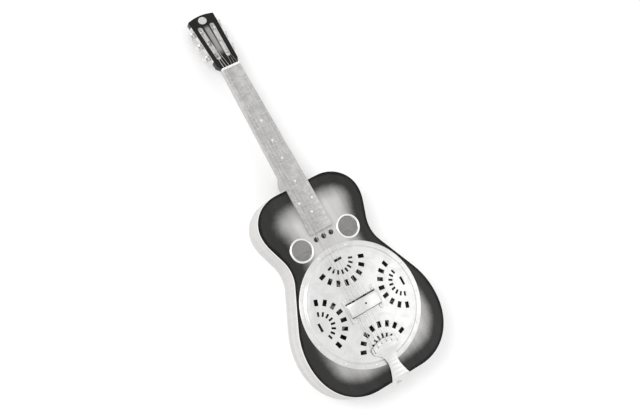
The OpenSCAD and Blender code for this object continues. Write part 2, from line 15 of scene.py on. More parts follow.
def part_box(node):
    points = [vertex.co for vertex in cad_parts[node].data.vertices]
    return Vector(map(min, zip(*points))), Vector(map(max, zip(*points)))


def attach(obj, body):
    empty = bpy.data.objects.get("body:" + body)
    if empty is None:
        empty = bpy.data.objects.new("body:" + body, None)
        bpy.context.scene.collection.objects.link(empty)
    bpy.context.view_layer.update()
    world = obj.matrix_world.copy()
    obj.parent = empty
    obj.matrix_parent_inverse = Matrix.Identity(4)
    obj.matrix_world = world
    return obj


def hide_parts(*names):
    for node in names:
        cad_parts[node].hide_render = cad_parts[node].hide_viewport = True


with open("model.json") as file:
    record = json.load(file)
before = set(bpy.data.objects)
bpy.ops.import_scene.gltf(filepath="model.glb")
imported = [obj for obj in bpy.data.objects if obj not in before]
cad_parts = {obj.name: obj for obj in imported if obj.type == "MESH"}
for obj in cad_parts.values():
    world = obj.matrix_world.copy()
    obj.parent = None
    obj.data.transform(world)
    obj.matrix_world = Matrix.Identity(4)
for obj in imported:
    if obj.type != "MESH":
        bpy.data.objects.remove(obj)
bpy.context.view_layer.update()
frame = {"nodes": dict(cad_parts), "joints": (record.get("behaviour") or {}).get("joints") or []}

MM = 0.001


def node_box(node):
    """Lowest and highest corner of a CAD node, in millimetres."""
    low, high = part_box(node)
    return np.array(low) / MM, np.array(high) / MM


# ---------------------------------------------------------------- sizes, some from the frame

BODY_LOW, BODY_HIGH = node_box("binding")
TOP_Z = BODY_HIGH[2]
JOIN_Y = BODY_HIGH[1]
TAIL_Y = -BODY_LOW[1]
LOWER_HALF = BODY_HIGH[0]
TOP_IN = node_box("top_plate")[0][2]
BACK_T = node_box("back_plate")[1][2]
BINDING_W = LOWER_HALF - node_box("top_plate")[1][0]
SIDE_T = 2.5
UPPER_HALF = 139.0
WAIST_HALF = 115.0
COVER_R = node_box("cover_plate")[1][0]
COVER_TOP = node_box("cover_plate")[1][2] - TOP_Z
SCREEN_X = 65.7
SCREEN_Y = 175.2
SCREEN_R = (node_box("screen_rings")[1][1] - node_box("screen_rings")[0][1]) / 2
PORT_Y = 182.0
PORT_R = 6.3
PORT_PITCH = 20.7

NECK_ANGLE = math.radians(1.0)
BOARD_T = 6.5
NUT_HALF = node_box("nut")[1][0]
HEEL_HALF = 29.25
NUT_AT = 317.0
HEAD_AT = 322.0
HEAD_HALF = 31.4
HEAD_LEN = 144.5
HEAD_LEAN = math.radians(2.3)
LEAN_Y = 68.0
CROWN_DROP = 5.5
INLAY_Y = 130.5
HEAD_T = 18.0
VENEER_T = 1.5
SLOT_X = 14.5
SLOT_W = 12.0
SLOT_START = 24.0
SLOT_END = 117.0
POST_FIRST = 39.0
POST_PITCH = 33.3
POST_Z = -7.5
SLEEVE_R = 4.8
WORM_OFF = 8.6
PLATE_X = HEAD_HALF + 1.2
GEAR_X = PLATE_X + 0.2
GEAR_W = 3.5
GEAR_TEETH = 14
WORM_X = GEAR_X + GEAR_W / 2

STRING_R = [0.7, 0.55, 0.45, 0.32, 0.22, 0.2]
NUT_SPREAD = 36.5
SADDLE_SPREAD = 55.0
TAIL_SPREAD = 64.0
TUNERS = range(1, 7)

head_axis = Vector(next(j["axis"] for j in frame["joints"] if j["name"] == "key_1_turn"))
HEAD_TILT = math.atan2(head_axis.y, head_axis.z)
NECK = Matrix.Translation((0, JOIN_Y, TOP_Z)) @ Matrix.Rotation(-NECK_ANGLE, 4, "X")
HEAD = NECK @ Matrix.Translation((0, HEAD_AT, 0)) @ Matrix.Rotation(NECK_ANGLE - HEAD_TILT, 4, "X")
SIDE = {s: HEAD @ Matrix.Translation((s * HEAD_HALF, LEAN_Y, 0)) @ Matrix.Rotation(-s * HEAD_LEAN, 4, "Z")
        @ Matrix.Translation((-s * HEAD_HALF, -LEAN_Y, 0)) for s in (-1, 1)}


# ---------------------------------------------------------------- outlines and paths

def arc(cx, cy, r, a0, a1, n):
    a = np.radians(np.linspace(a0, a1, n + 1))
    return np.column_stack([cx + r * np.cos(a), cy + r * np.sin(a)])


def corner(cx, cy, rx, ry, power, a0, a1, n):
    a = np.radians(np.linspace(a0, a1, n + 1))
    x = cx + rx * np.abs(np.cos(a)) ** (2 / power)
    y = cy + np.sign(np.sin(a)) * ry * np.abs(np.sin(a)) ** (2 / power)
    return np.column_stack([x, y])


def resample(points, step, closed=True):
    """Evenly spaced points along a line."""
    p = np.vstack([points, points[:1]]) if closed else np.asarray(points, float)
    run = np.concatenate([[0], np.cumsum(np.linalg.norm(np.diff(p, axis=0), axis=1))])
    n = max(3, int(round(run[-1] / step)))
    at = np.linspace(0, run[-1], n + 1)
    out = np.column_stack([np.interp(at, run, p[:, k]) for k in range(p.shape[1])])
    return out[:-1] if closed else out


def body_outline(step=3.0):
    """Outline of the body, clockwise from the neck joint round the treble side."""
    half = np.vstack([
        [[0, JOIN_Y]],
        corner(58, 245, UPPER_HALF - 58, JOIN_Y - 245, 2, 90, 0, 60),
        arc(UPPER_HALF - 100, 245, 100, -1, -20, 20),
        arc(WAIST_HALF + 80, 146, 80, 160, 206, 40),
        arc(LOWER_HALF - 185, -60, 185, 26, 1, 30),
        corner(60, -60, LOWER_HALF - 60, TAIL_Y - 60, 2.12, 0, -90, 80),
        [[0, -TAIL_Y]],
    ])
    bass = half[1:-1][::-1] * [-1, 1]
    ring = np.vstack([half, bass])
    fine = resample(ring, step)
    for _ in range(6):
        near = (np.roll(fine, 1, 0) + np.roll(fine, -1, 0)) / 2
        flat = np.abs(fine[:, 0]) < 45
        fine = np.where(flat[:, None], fine, 0.5 * fine + 0.5 * near)
    return np.clip(fine, [-LOWER_HALF, -TAIL_Y], [LOWER_HALF, JOIN_Y])


def inset(ring, d):
    """Moves a clockwise closed outline inwards by d."""
    before = ring - np.roll(ring, 1, 0)
    after = np.roll(ring, -1, 0) - ring
    before /= np.linalg.norm(before, axis=1)[:, None]
    after /= np.linalg.norm(after, axis=1)[:, None]
    mid = before + after
    mid /= np.linalg.norm(mid, axis=1)[:, None]
    scale = d / np.sum(mid * after, axis=1)
    return ring + scale[:, None] * np.column_stack([mid[:, 1], -mid[:, 0]])


def rounded_rect(cx, cy, w, h, r, turn=0.0, n=4):
    """Corners of a rectangle rounded with radius r, turned by an angle in degrees about the origin."""
    points = []
    for k, (sx, sy) in enumerate([(1, 1), (-1, 1), (-1, -1), (1, -1)]):
        points.append(arc(sx * (w / 2 - r), sy * (h / 2 - r), r, 90 * k, 90 * k + 90, n))
    p = np.vstack(points) + [cx, cy]
    a = math.radians(turn)
    return p @ np.array([[math.cos(a), math.sin(a)], [-math.sin(a), math.cos(a)]])


def circle(cx, cy, r, n=48):
    return arc(cx, cy, r, 0, 360 * (n - 1) / n, n - 1)


# ---------------------------------------------------------------- mesh builders

def finish_mesh(name, me, material, body, replaces=(), sharp=35):
    """Links a mesh in millimetres as a piece that rides on a body."""
    me.transform(Matrix.Scale(MM, 4))
    for poly in me.polygons:
        poly.use_smooth = True
    me.set_sharp_from_angle(angle=math.radians(sharp))
    me.materials.clear()
    me.materials.append(material)
    piece = bpy.data.objects.new(name, me)
    me.name = name
    bpy.context.scene.collection.objects.link(piece)
    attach(piece, body)
    if replaces:
        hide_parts(*replaces)
    return piece


def mesh_of(verts, faces, matrix=None):
    me = bpy.data.meshes.new("piece")
    me.from_pydata([tuple(map(float, v)) for v in verts], [], [tuple(map(int, f)) for f in faces])
    if matrix is not None:
        me.transform(matrix)
    bm = bmesh.new()
    bm.from_mesh(me)
    bmesh.ops.recalc_face_normals(bm, faces=bm.faces)
    bm.to_mesh(me)
    bm.free()
    return me


def joined(parts):
    """One (verts, faces) pair from several."""
    verts, faces = [], []
    for v, f in parts:
        base = len(verts)
        verts.extend(v)
        faces.extend([tuple(i + base for i in face) for face in f])
    return verts, faces


def place(part, matrix):
    verts, faces = part
    return [tuple(matrix @ Vector(v)) for v in verts], faces


def grid_faces(rows, cols, wrap_rows=False, wrap_cols=True):
    faces = []
    for i in range(rows if wrap_rows else rows - 1):
        for k in range(cols if wrap_cols else cols - 1):
            i2, k2 = (i + 1) % rows, (k + 1) % cols
            faces.append((i * cols + k, i * cols + k2, i2 * cols + k2, i2 * cols + k))
    return faces


def loft(rings, caps=True, wrap=False):
    """Skin over rings of equally many points."""
    rings = [np.asarray(r, float) for r in rings]
    cols = len(rings[0])
    verts = [tuple(v) for r in rings for v in r]
    faces = grid_faces(len(rings), cols, wrap_rows=wrap)
    if caps and not wrap:
        faces.append(tuple(range(cols - 1, -1, -1)))
        faces.append(tuple((len(rings) - 1) * cols + k for k in range(cols)))
    return verts, faces


def lathe(profile, n=64, closed=False):
    """Turned shape about Z: profile is a list of (radius, z), closed for a ring-shaped section."""
    verts, rows = [], []
    for r, z in profile:
        if r < 1e-6:
            rows.append([len(verts)])
            verts.append((0.0, 0.0, z))
            continue
        rows.append(list(range(len(verts), len(verts) + n)))
        for k in range(n):
            a = 2 * math.pi * k / n
            verts.append((r * math.cos(a), r * math.sin(a), z))
    faces = []
    pairs = list(zip(rows, rows[1:] + rows[:1])) if closed else list(zip(rows, rows[1:]))
    for one, two in pairs:
        for k in range(n):
            k2 = (k + 1) % n
            a = [one[0]] if len(one) == 1 else [one[k], one[k2]]
            b = [two[0]] if len(two) == 1 else [two[k2], two[k]]
            if len(a) + len(b) > 2:
                faces.append(tuple(a + b))
    return verts, faces


def tube(path, radii, sides=10, closed=False):
    """Round tube along a path of points, with one radius or one for each point."""
    p = [Vector(q) for q in path]
    n = len(p)
    radii = [radii] * n if isinstance(radii, (int, float)) else list(radii)
    rings = []
    normal = None
    for i in range(n):
        a = p[i - 1] if i or closed else p[0]
        b = p[(i + 1) % n] if i < n - 1 or closed else p[-1]
        t = (b - a).normalized()
        if normal is None:
            normal = t.cross(Vector((0.31, 0.17, 0.93))).normalized()
        normal = (normal - t * normal.dot(t)).normalized()
        other = t.cross(normal)
        rings.append([p[i] + radii[i] * (math.cos(2 * math.pi * k / sides) * normal
                                         + math.sin(2 * math.pi * k / sides) * other)
                      for k in range(sides)])
    return loft([[tuple(v) for v in ring] for ring in rings], caps=not closed, wrap=closed)


def sheet_mesh(outline, holes, thick, bevel=0.0):
    """Flat plate with holes, from z = 0 to thick, as a mesh in millimetres."""
    curve = bpy.data.curves.new("sheet", "CURVE")
    curve.dimensions = "2D"
    curve.fill_mode = "BOTH"
    curve.extrude = thick / 2 - bevel
    curve.bevel_depth = bevel
    curve.bevel_resolution = 2
    curve.offset = -bevel
    for points in [outline] + list(holes):
        spline = curve.splines.new("POLY")
        spline.points.add(len(points) - 1)
        for point, (x, y) in zip(spline.points, points):
            point.co = (x, y, 0, 1)
        spline.use_cyclic_u = True
    holder = bpy.data.objects.new("sheet", curve)
    bpy.context.scene.collection.objects.link(holder)
    graph = bpy.context.evaluated_depsgraph_get()
    me = bpy.data.meshes.new_from_object(holder.evaluated_get(graph))
    bpy.data.objects.remove(holder)
    bpy.data.curves.remove(curve)
    me.transform(Matrix.Translation((0, 0, thick / 2)))
    bm = bmesh.new()
    bm.from_mesh(me)
    bmesh.ops.remove_doubles(bm, verts=bm.verts, dist=1e-4)
    bmesh.ops.recalc_face_normals(bm, faces=bm.faces)
    bm.to_mesh(me)
    bm.free()
    return me


def slice_mesh(me, xs=(), ys=()):
    """Cuts a mesh along lines of equal x and of equal y, so that it can bend."""
    bm = bmesh.new()
    bm.from_mesh(me)
    for value, axis in [(x, 0) for x in xs] + [(y, 1) for y in ys]:
        at = [0, 0, 0]
        at[axis] = value
        normal = [0, 0, 0]
        normal[axis] = 1
        geom = bm.verts[:] + bm.edges[:] + bm.faces[:]
        bmesh.ops.bisect_plane(bm, geom=geom, dist=1e-5, plane_co=at, plane_no=normal)
    bmesh.ops.triangulate(bm, faces=[f for f in bm.faces if len(f.verts) > 4])
    bm.to_mesh(me)
    bm.free()


def move_verts(me, rule):
    """Moves every vertex by rule, which takes and gives an array of points."""
    co = np.zeros(len(me.vertices) * 3)
    me.vertices.foreach_get("co", co)
    me.vertices.foreach_set("co", rule(co.reshape(-1, 3)).ravel())
    me.update()


def set_uv(me, rule):
    """UV layer from each vertex's place, by rule, in metres."""
    while me.uv_layers:
        me.uv_layers.remove(me.uv_layers[0])
    layer = me.uv_layers.new(name="UVMap")
    for loop in me.loops:
        layer.data[loop.index].uv = rule(me.vertices[loop.vertex_index].co, loop.vertex_index)


# ---------------------------------------------------------------- materials

class Shader:
    """A node material with its Principled shader and short ways to add nodes."""

    def __init__(self, name, **values):
        self.material = bpy.data.materials.new(name)
        self.material.use_nodes = True
        self.tree = self.material.node_tree
        self.tree.nodes.clear()
        self.out = self.tree.nodes.new("ShaderNodeOutputMaterial")
        self.bsdf = self.tree.nodes.new("ShaderNodeBsdfPrincipled")
        self.tree.links.new(self.bsdf.outputs[0], self.out.inputs[0])
        for key, value in values.items():
            self.bsdf.inputs[key.replace("_", " ")].default_value = value

    def add(self, kind, inputs=(), **settings):
        node = self.tree.nodes.new("ShaderNode" + kind)
        for key, value in settings.items():
            setattr(node, key, value)
        for key, value in dict(inputs).items():
            self.set(node.inputs[key], value)
        return node

    def set(self, socket, value):
        if isinstance(value, bpy.types.NodeSocket):
            self.tree.links.new(value, socket)
        else:
            socket.default_value = value

    def put(self, **values):
        for key, value in values.items():
            self.set(self.bsdf.inputs[key.replace("_", " ")], value)

    def place(self, scale=(1, 1, 1), uv=False, turn=(0, 0, 0)):
        coords = self.add("TexCoord")
        source = coords.outputs["UV" if uv else "Object"]
        mapping = self.add("Mapping", {"Vector": source, "Scale": scale, "Rotation": turn})
        return mapping.outputs[0]

    def noise(self, vector, scale, detail=3.0, rough=0.5, distortion=0.0):
        node = self.add("TexNoise", {"Vector": vector, "Scale": scale, "Detail": detail,
                                     "Roughness": rough, "Distortion": distortion})
        return node.outputs[0]

    def ramp(self, value, low, high, start=0.0, end=1.0, smooth=True):
        """Maps value from low..high to start..end."""
        node = self.add("MapRange", {0: value, 1: low, 2: high, 3: start, 4: end},
                        interpolation_type="SMOOTHSTEP" if smooth else "LINEAR")
        return node.outputs[0]

    def blend(self, factor, a, b, kind="MIX"):
        node = self.add("Mix", data_type="RGBA", blend_type=kind)
        self.set(node.inputs[0], factor)
        self.set(node.inputs[6], a)
        self.set(node.inputs[7], b)
        return node.outputs[2]

    def math(self, kind, a, b=0.5, c=0.5):
        node = self.add("Math", {0: a, 1: b, 2: c}, operation=kind)
        return node.outputs[0]

    def bump(self, height, strength, distance=0.0004):
        node = self.add("Bump", {"Height": height, "Strength": strength, "Distance": distance})
        self.set(self.bsdf.inputs["Normal"], node.outputs[0])


def grey(value, warm=0.012):
    """A grey with a slight warm tint."""
    return (value * (1 + warm), value, value * (1 - warm), 1)


def wood_fields(s, stretch, uv=False):
    """Broad colour drift, long grain lines and fine pores of wood whose grain runs along the unstretched axis."""
    broad = s.noise(s.place(tuple(4 * k for k in stretch), uv), 1.0, 3, 0.55, 0.6)
    lines = s.noise(s.place(tuple(38 * k for k in stretch), uv), 1.0, 5, 0.6, 0.35)
    pores = s.noise(s.place(tuple(260 * k for k in stretch), uv), 1.0, 2, 0.6)
    return broad, lines, pores


def wood(name, light, dark, stretch, uv=False, rough=0.42, coat=0.25, flame=0.0, flame_scale=(0, 60, 0)):
    s = Shader(name, Coat_Weight=coat, Coat_Roughness=0.18, Specular_IOR_Level=0.35)
    broad, lines, pores = wood_fields(s, stretch, uv)
    mix = s.math("MULTIPLY_ADD", lines, 0.55, s.math("MULTIPLY", broad, 0.45))
    shade = s.blend(s.ramp(mix, 0.34, 0.66), grey(light), grey(dark))
    shade = s.blend(s.ramp(pores, 0.62, 0.78, 0, 0.28), shade, grey(dark * 0.55))
    if flame:
        curl = s.noise(s.place(flame_scale, uv), 1.0, 2, 0.5, 1.2)
        shade = s.blend(s.ramp(curl, 0.38, 0.64, 0, flame), shade, grey(dark * 0.8))
    s.put(Base_Color=shade, Roughness=s.ramp(lines, 0.2, 0.8, rough - 0.07, rough + 0.1))
    s.bump(s.math("ADD", s.math("MULTIPLY", pores, 0.6), s.math("MULTIPLY", lines, 0.4)), 0.12, 0.0003)
    return s.material


def sunburst():
    """Lacquered top: pale middle, fading to near black at the edge by the stored distance from the outline."""
    s = Shader("sunburst_lacquer", Coat_Weight=0.08, Coat_Roughness=0.15, Specular_IOR_Level=0.12)
    broad, lines, pores = wood_fields(s, (1.0, 0.05, 1.0))
    edge = s.add("Attribute", attribute_name="edge_distance").outputs["Fac"]
    spray = s.noise(s.place((1, 1, 1)), 18, 5, 0.6)
    mottle = s.noise(s.place((1, 1, 1)), 420, 3, 0.7)
    depth = s.math("MULTIPLY_ADD", s.math("SUBTRACT", spray, 0.5), 0.012, edge)
    depth = s.math("MULTIPLY_ADD", s.math("SUBTRACT", mottle, 0.5), 0.009, depth)
    grain = s.math("MULTIPLY_ADD", lines, 0.6, s.math("MULTIPLY", broad, 0.4))
    pale = s.blend(s.ramp(grain, 0.35, 0.66), grey(0.59), grey(0.45))
    middle = s.blend(s.ramp(grain, 0.35, 0.66), grey(0.30), grey(0.20))
    brown = s.blend(s.ramp(grain, 0.3, 0.7), grey(0.034), grey(0.020))
    black = grey(0.004)
    shade = s.blend(s.ramp(depth, 0.024, 0.047), brown, middle)
    shade = s.blend(s.ramp(depth, 0.036, 0.074), shade, pale)
    shade = s.blend(s.ramp(depth, 0.003, 0.010), black, shade)
    s.put(Base_Color=shade, Roughness=s.ramp(mottle, 0.3, 0.7, 0.24, 0.36))
    s.bump(s.math("ADD", s.math("MULTIPLY", pores, 0.4), s.math("MULTIPLY", spray, 0.6)), 0.06, 0.0004)
    return s.material


def black_lacquer(name, grey_rib=False):
    """Black lacquer; on the headstock's face a grey band runs along the rib between its slots."""
    s = Shader(name, Coat_Weight=0.12, Coat_Roughness=0.1, Specular_IOR_Level=0.15)
    broad, lines, pores = wood_fields(s, (1.0, 0.06, 1.0))
    swirl = s.noise(s.place((1, 1, 1)), 420, 4, 0.6)
    shade = s.blend(s.ramp(lines, 0.35, 0.7), grey(0.006), grey(0.014))
    if grey_rib:
        spot = s.add("SeparateXYZ", {0: s.add("TexCoord").outputs["UV"]})
        rim = s.ramp(s.math("ABSOLUTE", spot.outputs[0]), 0.0045, 0.0075)
        low = s.ramp(spot.outputs[1], 0.030, 0.052)
        high = s.ramp(spot.outputs[1], 0.104, 0.118)
        # lighter grey band on the centre rib between the slots, placed from the face's UV
        rib_band = s.math("MULTIPLY", s.math("SUBTRACT", 1.0, rim), s.math("MULTIPLY", low, s.math("SUBTRACT", 1.0, high)))
        shade = s.blend(rib_band, shade, s.blend(s.ramp(lines, 0.3, 0.7), grey(0.30), grey(0.20)))
    s.put(Base_Color=shade, Roughness=s.ramp(swirl, 0.3, 0.7, 0.16, 0.3))
    s.bump(s.math("ADD", pores, s.math("MULTIPLY", broad, 0.5)), 0.06, 0.0003)
    return s.material


def metal(name, tone, rough, stretch=(1, 1, 1), scale=700, spread=0.08, bump=0.05, tint=0.004, cloud=0.1):
    """Polished or satin metal with fine polishing lines, faint clouds of tarnish and uneven gloss."""
    s = Shader(name, Metallic=1.0)
    marks = s.noise(s.place(stretch), scale, 4, 0.6)
    clouds = s.noise(s.place((1, 1, 1)), 42, 4, 0.6, 0.5)
    specks = s.noise(s.place((1, 1, 1)), 900, 2, 0.5)
    shade = s.blend(s.ramp(clouds, 0.35, 0.75, 0, cloud * 4), grey(tone, tint), grey(tone * 0.82, tint))
    shade = s.blend(s.ramp(specks, 0.68, 0.8, 0, 0.5), shade, grey(tone * 0.6, tint))
    gloss = s.math("MULTIPLY_ADD", s.ramp(clouds, 0.3, 0.7), spread * 0.7, s.ramp(marks, 0.2, 0.8, rough, rough + spread))
    s.put(Base_Color=shade, Roughness=gloss)
    s.bump(marks, bump, 0.0001)
    return s.material


def plated_sheet():
    """Satin plated steel of the cover: bright, slightly diffuse, with fine hand-polish marks."""
    s = Shader("plated_sheet", Metallic=0.82)
    clouds = s.noise(s.place((1, 1, 1)), 30, 5, 0.62, 0.8)
    marks = s.noise(s.place((1, 0.12, 1), turn=(0, 0, 0.6)), 900, 4, 0.6)
    pits = s.noise(s.place((1, 1, 1)), 1300, 2, 0.5)
    shade = s.blend(s.ramp(clouds, 0.35, 0.72), grey(0.79, 0.004), grey(0.68, 0.006))
    shade = s.blend(s.ramp(pits, 0.7, 0.82, 0, 0.5), shade, grey(0.5, 0.01))
    gloss = s.math("MULTIPLY_ADD", clouds, 0.16, s.ramp(marks, 0.2, 0.8, 0.20, 0.30))
    s.put(Base_Color=shade, Roughness=gloss)
    s.bump(s.math("ADD", s.math("MULTIPLY", marks, 0.5), clouds), 0.05, 0.0003)
    return s.material


def spun_metal():
    """Thin spun aluminium with rings left by the spinning tool, dull, and darkened with painted shade for its shaded
    place under the cover.
    """
    s = Shader("spun_aluminium", Metallic=0.9)
    coords = s.add("TexCoord").outputs["Object"]
    parts = s.add("SeparateXYZ", {0: coords})
    radius = s.math("SQRT", s.math("MULTIPLY_ADD", parts.outputs[0], parts.outputs[0],
                                   s.math("MULTIPLY", parts.outputs[1], parts.outputs[1])))
    rings = s.math("SINE", s.math("MULTIPLY", radius, 5200.0))
    clouds = s.noise(s.place((1, 1, 1)), 55, 4, 0.6)
    # near-black greys: painted shade, the shade under the cover painted into the cone's colour
    shade = s.blend(s.ramp(clouds, 0.3, 0.75), grey(0.14, 0.004), grey(0.07, 0.006))
    s.put(Base_Color=shade, Roughness=s.ramp(clouds, 0.3, 0.7, 0.34, 0.5))
    s.bump(rings, 0.15, 0.0002)
    return s.material


def celluloid(name, tone, rough=0.22, vein=0.0):
    """Polished plastic with soft clouds and, on pearl, curling bright veins."""
    s = Shader(name, Coat_Weight=0.3, Coat_Roughness=0.1, Specular_IOR_Level=0.45)
    clouds = s.noise(s.place((1, 1, 1)), 160, 4, 0.6, 1.0)
    fine = s.noise(s.place((1, 1, 1)), 900, 3, 0.55)
    shade = s.blend(s.ramp(clouds, 0.35, 0.7), grey(tone, 0.02), grey(tone * 0.9, 0.03))
    if vein:
        cells = s.add("TexVoronoi", {"Vector": s.place((1, 1, 0.6)), "Scale": 380.0}, feature="SMOOTH_F1")
        shade = s.blend(s.ramp(cells.outputs[0], 0.2, 0.75, 0, vein), shade, grey(tone * 0.68, 0.0))
        shade = s.blend(s.ramp(clouds, 0.58, 0.72, 0, vein), shade, grey(min(0.95, tone * 1.12), 0.0))
    s.put(Base_Color=shade, Roughness=s.ramp(fine, 0.3, 0.7, rough, rough + 0.12))
    s.bump(fine, 0.04, 0.0001)
    return s.material


def wound_string():
    """Bronze wrap: turns across the string from its UV, a little tarnished."""
    s = Shader("wound_string", Metallic=0.95)
    coords = s.add("TexCoord").outputs["UV"]
    along = s.add("SeparateXYZ", {0: coords}).outputs[0]
    turns = s.math("SINE", s.math("MULTIPLY", along, 2 * math.pi / 0.00035))
    clouds = s.noise(s.place((1, 1, 1)), 60, 4, 0.6)
    shade = s.blend(s.ramp(clouds, 0.35, 0.7), grey(0.62, 0.03), grey(0.42, 0.04))
    s.put(Base_Color=shade, Roughness=s.ramp(clouds, 0.3, 0.7, 0.24, 0.42))
    s.bump(turns, 0.35, 0.0001)
    return s.material


def floor_paper():
    s = Shader("floor_paper", Specular_IOR_Level=0.0, Roughness=0.9)
    soft = s.noise(s.place((1, 1, 1)), 1.2, 2, 0.5)
    fibre = s.noise(s.place((1, 1, 1)), 900, 3, 0.6)
    s.put(Base_Color=s.blend(s.ramp(soft, 0.3, 0.7), grey(0.98, 0), grey(0.965, 0)))
    s.bump(fibre, 0.02, 0.0002)
    return s.material


M = {
    "top": sunburst(),
    "side": wood("pale_maple_side", 0.63, 0.51, (0.06, 1.0, 1.0), True, flame=0.16, flame_scale=(95, 4, 4)),
    "back": wood("pale_maple_back", 0.76, 0.64, (1.0, 0.05, 1.0), flame=0.2, flame_scale=(5, 85, 5)),
    "neck": wood("neck_maple", 0.50, 0.40, (1.0, 0.05, 1.0), flame=0.1, flame_scale=(8, 70, 8)),
    "inner": wood("bare_wood", 0.42, 0.30, (0.06, 1.0, 1.0), rough=0.7, coat=0.0),
    "board": wood("worn_fretboard", 0.66, 0.38, (1.0, 0.045, 1.0), rough=0.5, coat=0.05, flame=0.5, flame_scale=(60, 60, 60)),
    "saddle": wood("saddle_maple", 0.55, 0.42, (0.06, 1.0, 1.0), rough=0.6, coat=0.0),
    "head": black_lacquer("black_lacquer"),
    "face": black_lacquer("black_lacquer_grey_rib", grey_rib=True),
    "bare": wood("bare_maple", 0.82, 0.72, (1.0, 0.05, 1.0), rough=0.6, coat=0.0),
    "plate": plated_sheet(),
    "spun": spun_metal(),
    "cast": metal("cast_aluminium", 0.42, 0.5, scale=260, bump=0.3),
    "nickel": metal("nickel_silver", 0.82, 0.16, stretch=(1, 0.1, 1)),
    "bright": metal("bright_ring", 0.93, 0.14),
    "chrome": metal("tuner_plate", 0.80, 0.2, stretch=(0.1, 1, 1)),
    "steel": metal("drawn_steel", 0.66, 0.22),
    "dark_steel": metal("dark_steel", 0.30, 0.4),
    "brass": metal("gear_brass", 0.62, 0.25, tint=0.06),
    "wire": metal("screen_wire", 0.62, 0.38, tint=0.01),
    "ivory": celluloid("ivory_celluloid", 0.80),
    "bone": celluloid("bone", 0.86, 0.28),
    "pearl": celluloid("pearl", 0.88, 0.2, vein=0.35),
    "pearloid": celluloid("pearloid", 0.74, 0.2, vein=0.6),
    "inlay": celluloid("mottled_pearl", 0.60, 0.24, vein=0.9),
    "roller": celluloid("pale_roller", 0.72, 0.3),
    "wound": wound_string(),
    "floor": floor_paper(),
}


def repaint(material, *nodes):
    """Gives carried-over CAD nodes a finish."""
    for n in nodes:
        slots = frame["nodes"][n].material_slots
        if not slots:
            frame["nodes"][n].data.materials.append(material)
        for entry in slots:
            entry.material = material


# ---------------------------------------------------------------- body

OUTLINE = body_outline()


def fan_holes():
    """Rectangular holes of the cover's four fans, as outlines about the cone's centre."""
    holes = []
    for quarter in range(4):
        turn = math.radians(90 * quarter)
        spin = np.array([[math.cos(turn), math.sin(turn)], [-math.sin(turn), math.cos(turn)]])
        fan = [rounded_rect(0, 0, 21, 6, 1.0)]
        for k in range(8):
            tilt = (k - 3.5) * 20.3
            fan.append(rounded_rect(0, -58, 9.5, 15, 1.0, tilt))
            fan.append(rounded_rect(0, -31, 5, 11, 0.8, tilt))
        holes += [(h + [0, 118]) @ spin for h in fan]
    return holes


WIDER_SHADE = 0.38   # how much slower the shade fades on the bass side


def build_top():
    holes = [circle(0, 0, 136, 160)]
    holes += [circle(s * SCREEN_X, SCREEN_Y, 27.5, 72) for s in (-1, 1)]
    holes += [circle(s * PORT_PITCH, PORT_Y, PORT_R, 48) for s in (-1, 0, 1)]
    me = sheet_mesh(inset(OUTLINE, BINDING_W), holes, TOP_Z - TOP_IN)
    slice_mesh(me, np.arange(-180, 181, 7.5), np.arange(-190, 316, 7.5))
    me.transform(Matrix.Translation((0, 0, TOP_IN)))
    co = np.array([v.co[:2] for v in me.vertices])
    start, step = OUTLINE, np.roll(OUTLINE, -1, 0) - OUTLINE
    away = np.full(len(co), 1e9)
    for a, d in zip(start, step):
        t = np.clip(((co - a) @ d) / (d @ d), 0, 1)
        away = np.minimum(away, np.linalg.norm(co - a - t[:, None] * d, axis=1))
    bass = np.clip(-co[:, 0] / 60, 0, 1) * (0.4 + 0.6 * np.clip((co[:, 1] + 130) / 60, 0, 1))
    away -= WIDER_SHADE * bass * np.clip(away - 18, 0, None)
    stored = me.attributes.new("edge_distance", "FLOAT", "POINT")
    stored.data.foreach_set("value", (away * MM).astype(np.float32))
    return finish_mesh("sunburst_top", me, M["top"], "root", ["top_plate"])


def build_back():
    me = sheet_mesh(inset(OUTLINE, BINDING_W), [], BACK_T)
    slice_mesh(me, [0])
    return finish_mesh("back", me, M["back"], "root", ["back_plate"])


def side_wall(name, node, keep):
    """One bent side, as a strip between the outline and the inside, with the grain along its length."""
    half = OUTLINE[keep * OUTLINE[:, 0] >= -1e-6]
    start = np.argmax(half[:, 1] * 1000 - np.abs(half[:, 0])) if keep > 0 else 0
    order = np.argsort(np.arctan2(half[:, 1] - 40, keep * half[:, 0] + 1e-9))[::-1]
    outer = half[order]
    outer[0, 0] = outer[-1, 0] = keep * 0.02
    inner = outer.copy()
    full = inset(OUTLINE, SIDE_T)
    lookup = {tuple(np.round(o, 6)): i for o, i in zip(OUTLINE, full)}
    inner = np.array([lookup.get(tuple(np.round(o, 6)), i) for o, i in zip(half[order], inner)])
    inner[0, 0] = inner[-1, 0] = keep * 0.02
    run = np.concatenate([[0], np.cumsum(np.linalg.norm(np.diff(outer, axis=0), axis=1))])
    section = [(0, BACK_T), (0, TOP_IN), (1, TOP_IN), (1, BACK_T)]
    rings = [[(*(outer[i] if k == 0 else inner[i]), z) for k, z in section] for i in range(len(outer))]
    me = mesh_of(*loft(rings))
    across = {i: run[i // 4] for i in range(len(me.vertices))}
    set_uv(me, lambda co, i: (across[i] * MM, co[2] * MM))
    return finish_mesh(name, me, M["side"], "root", [node])


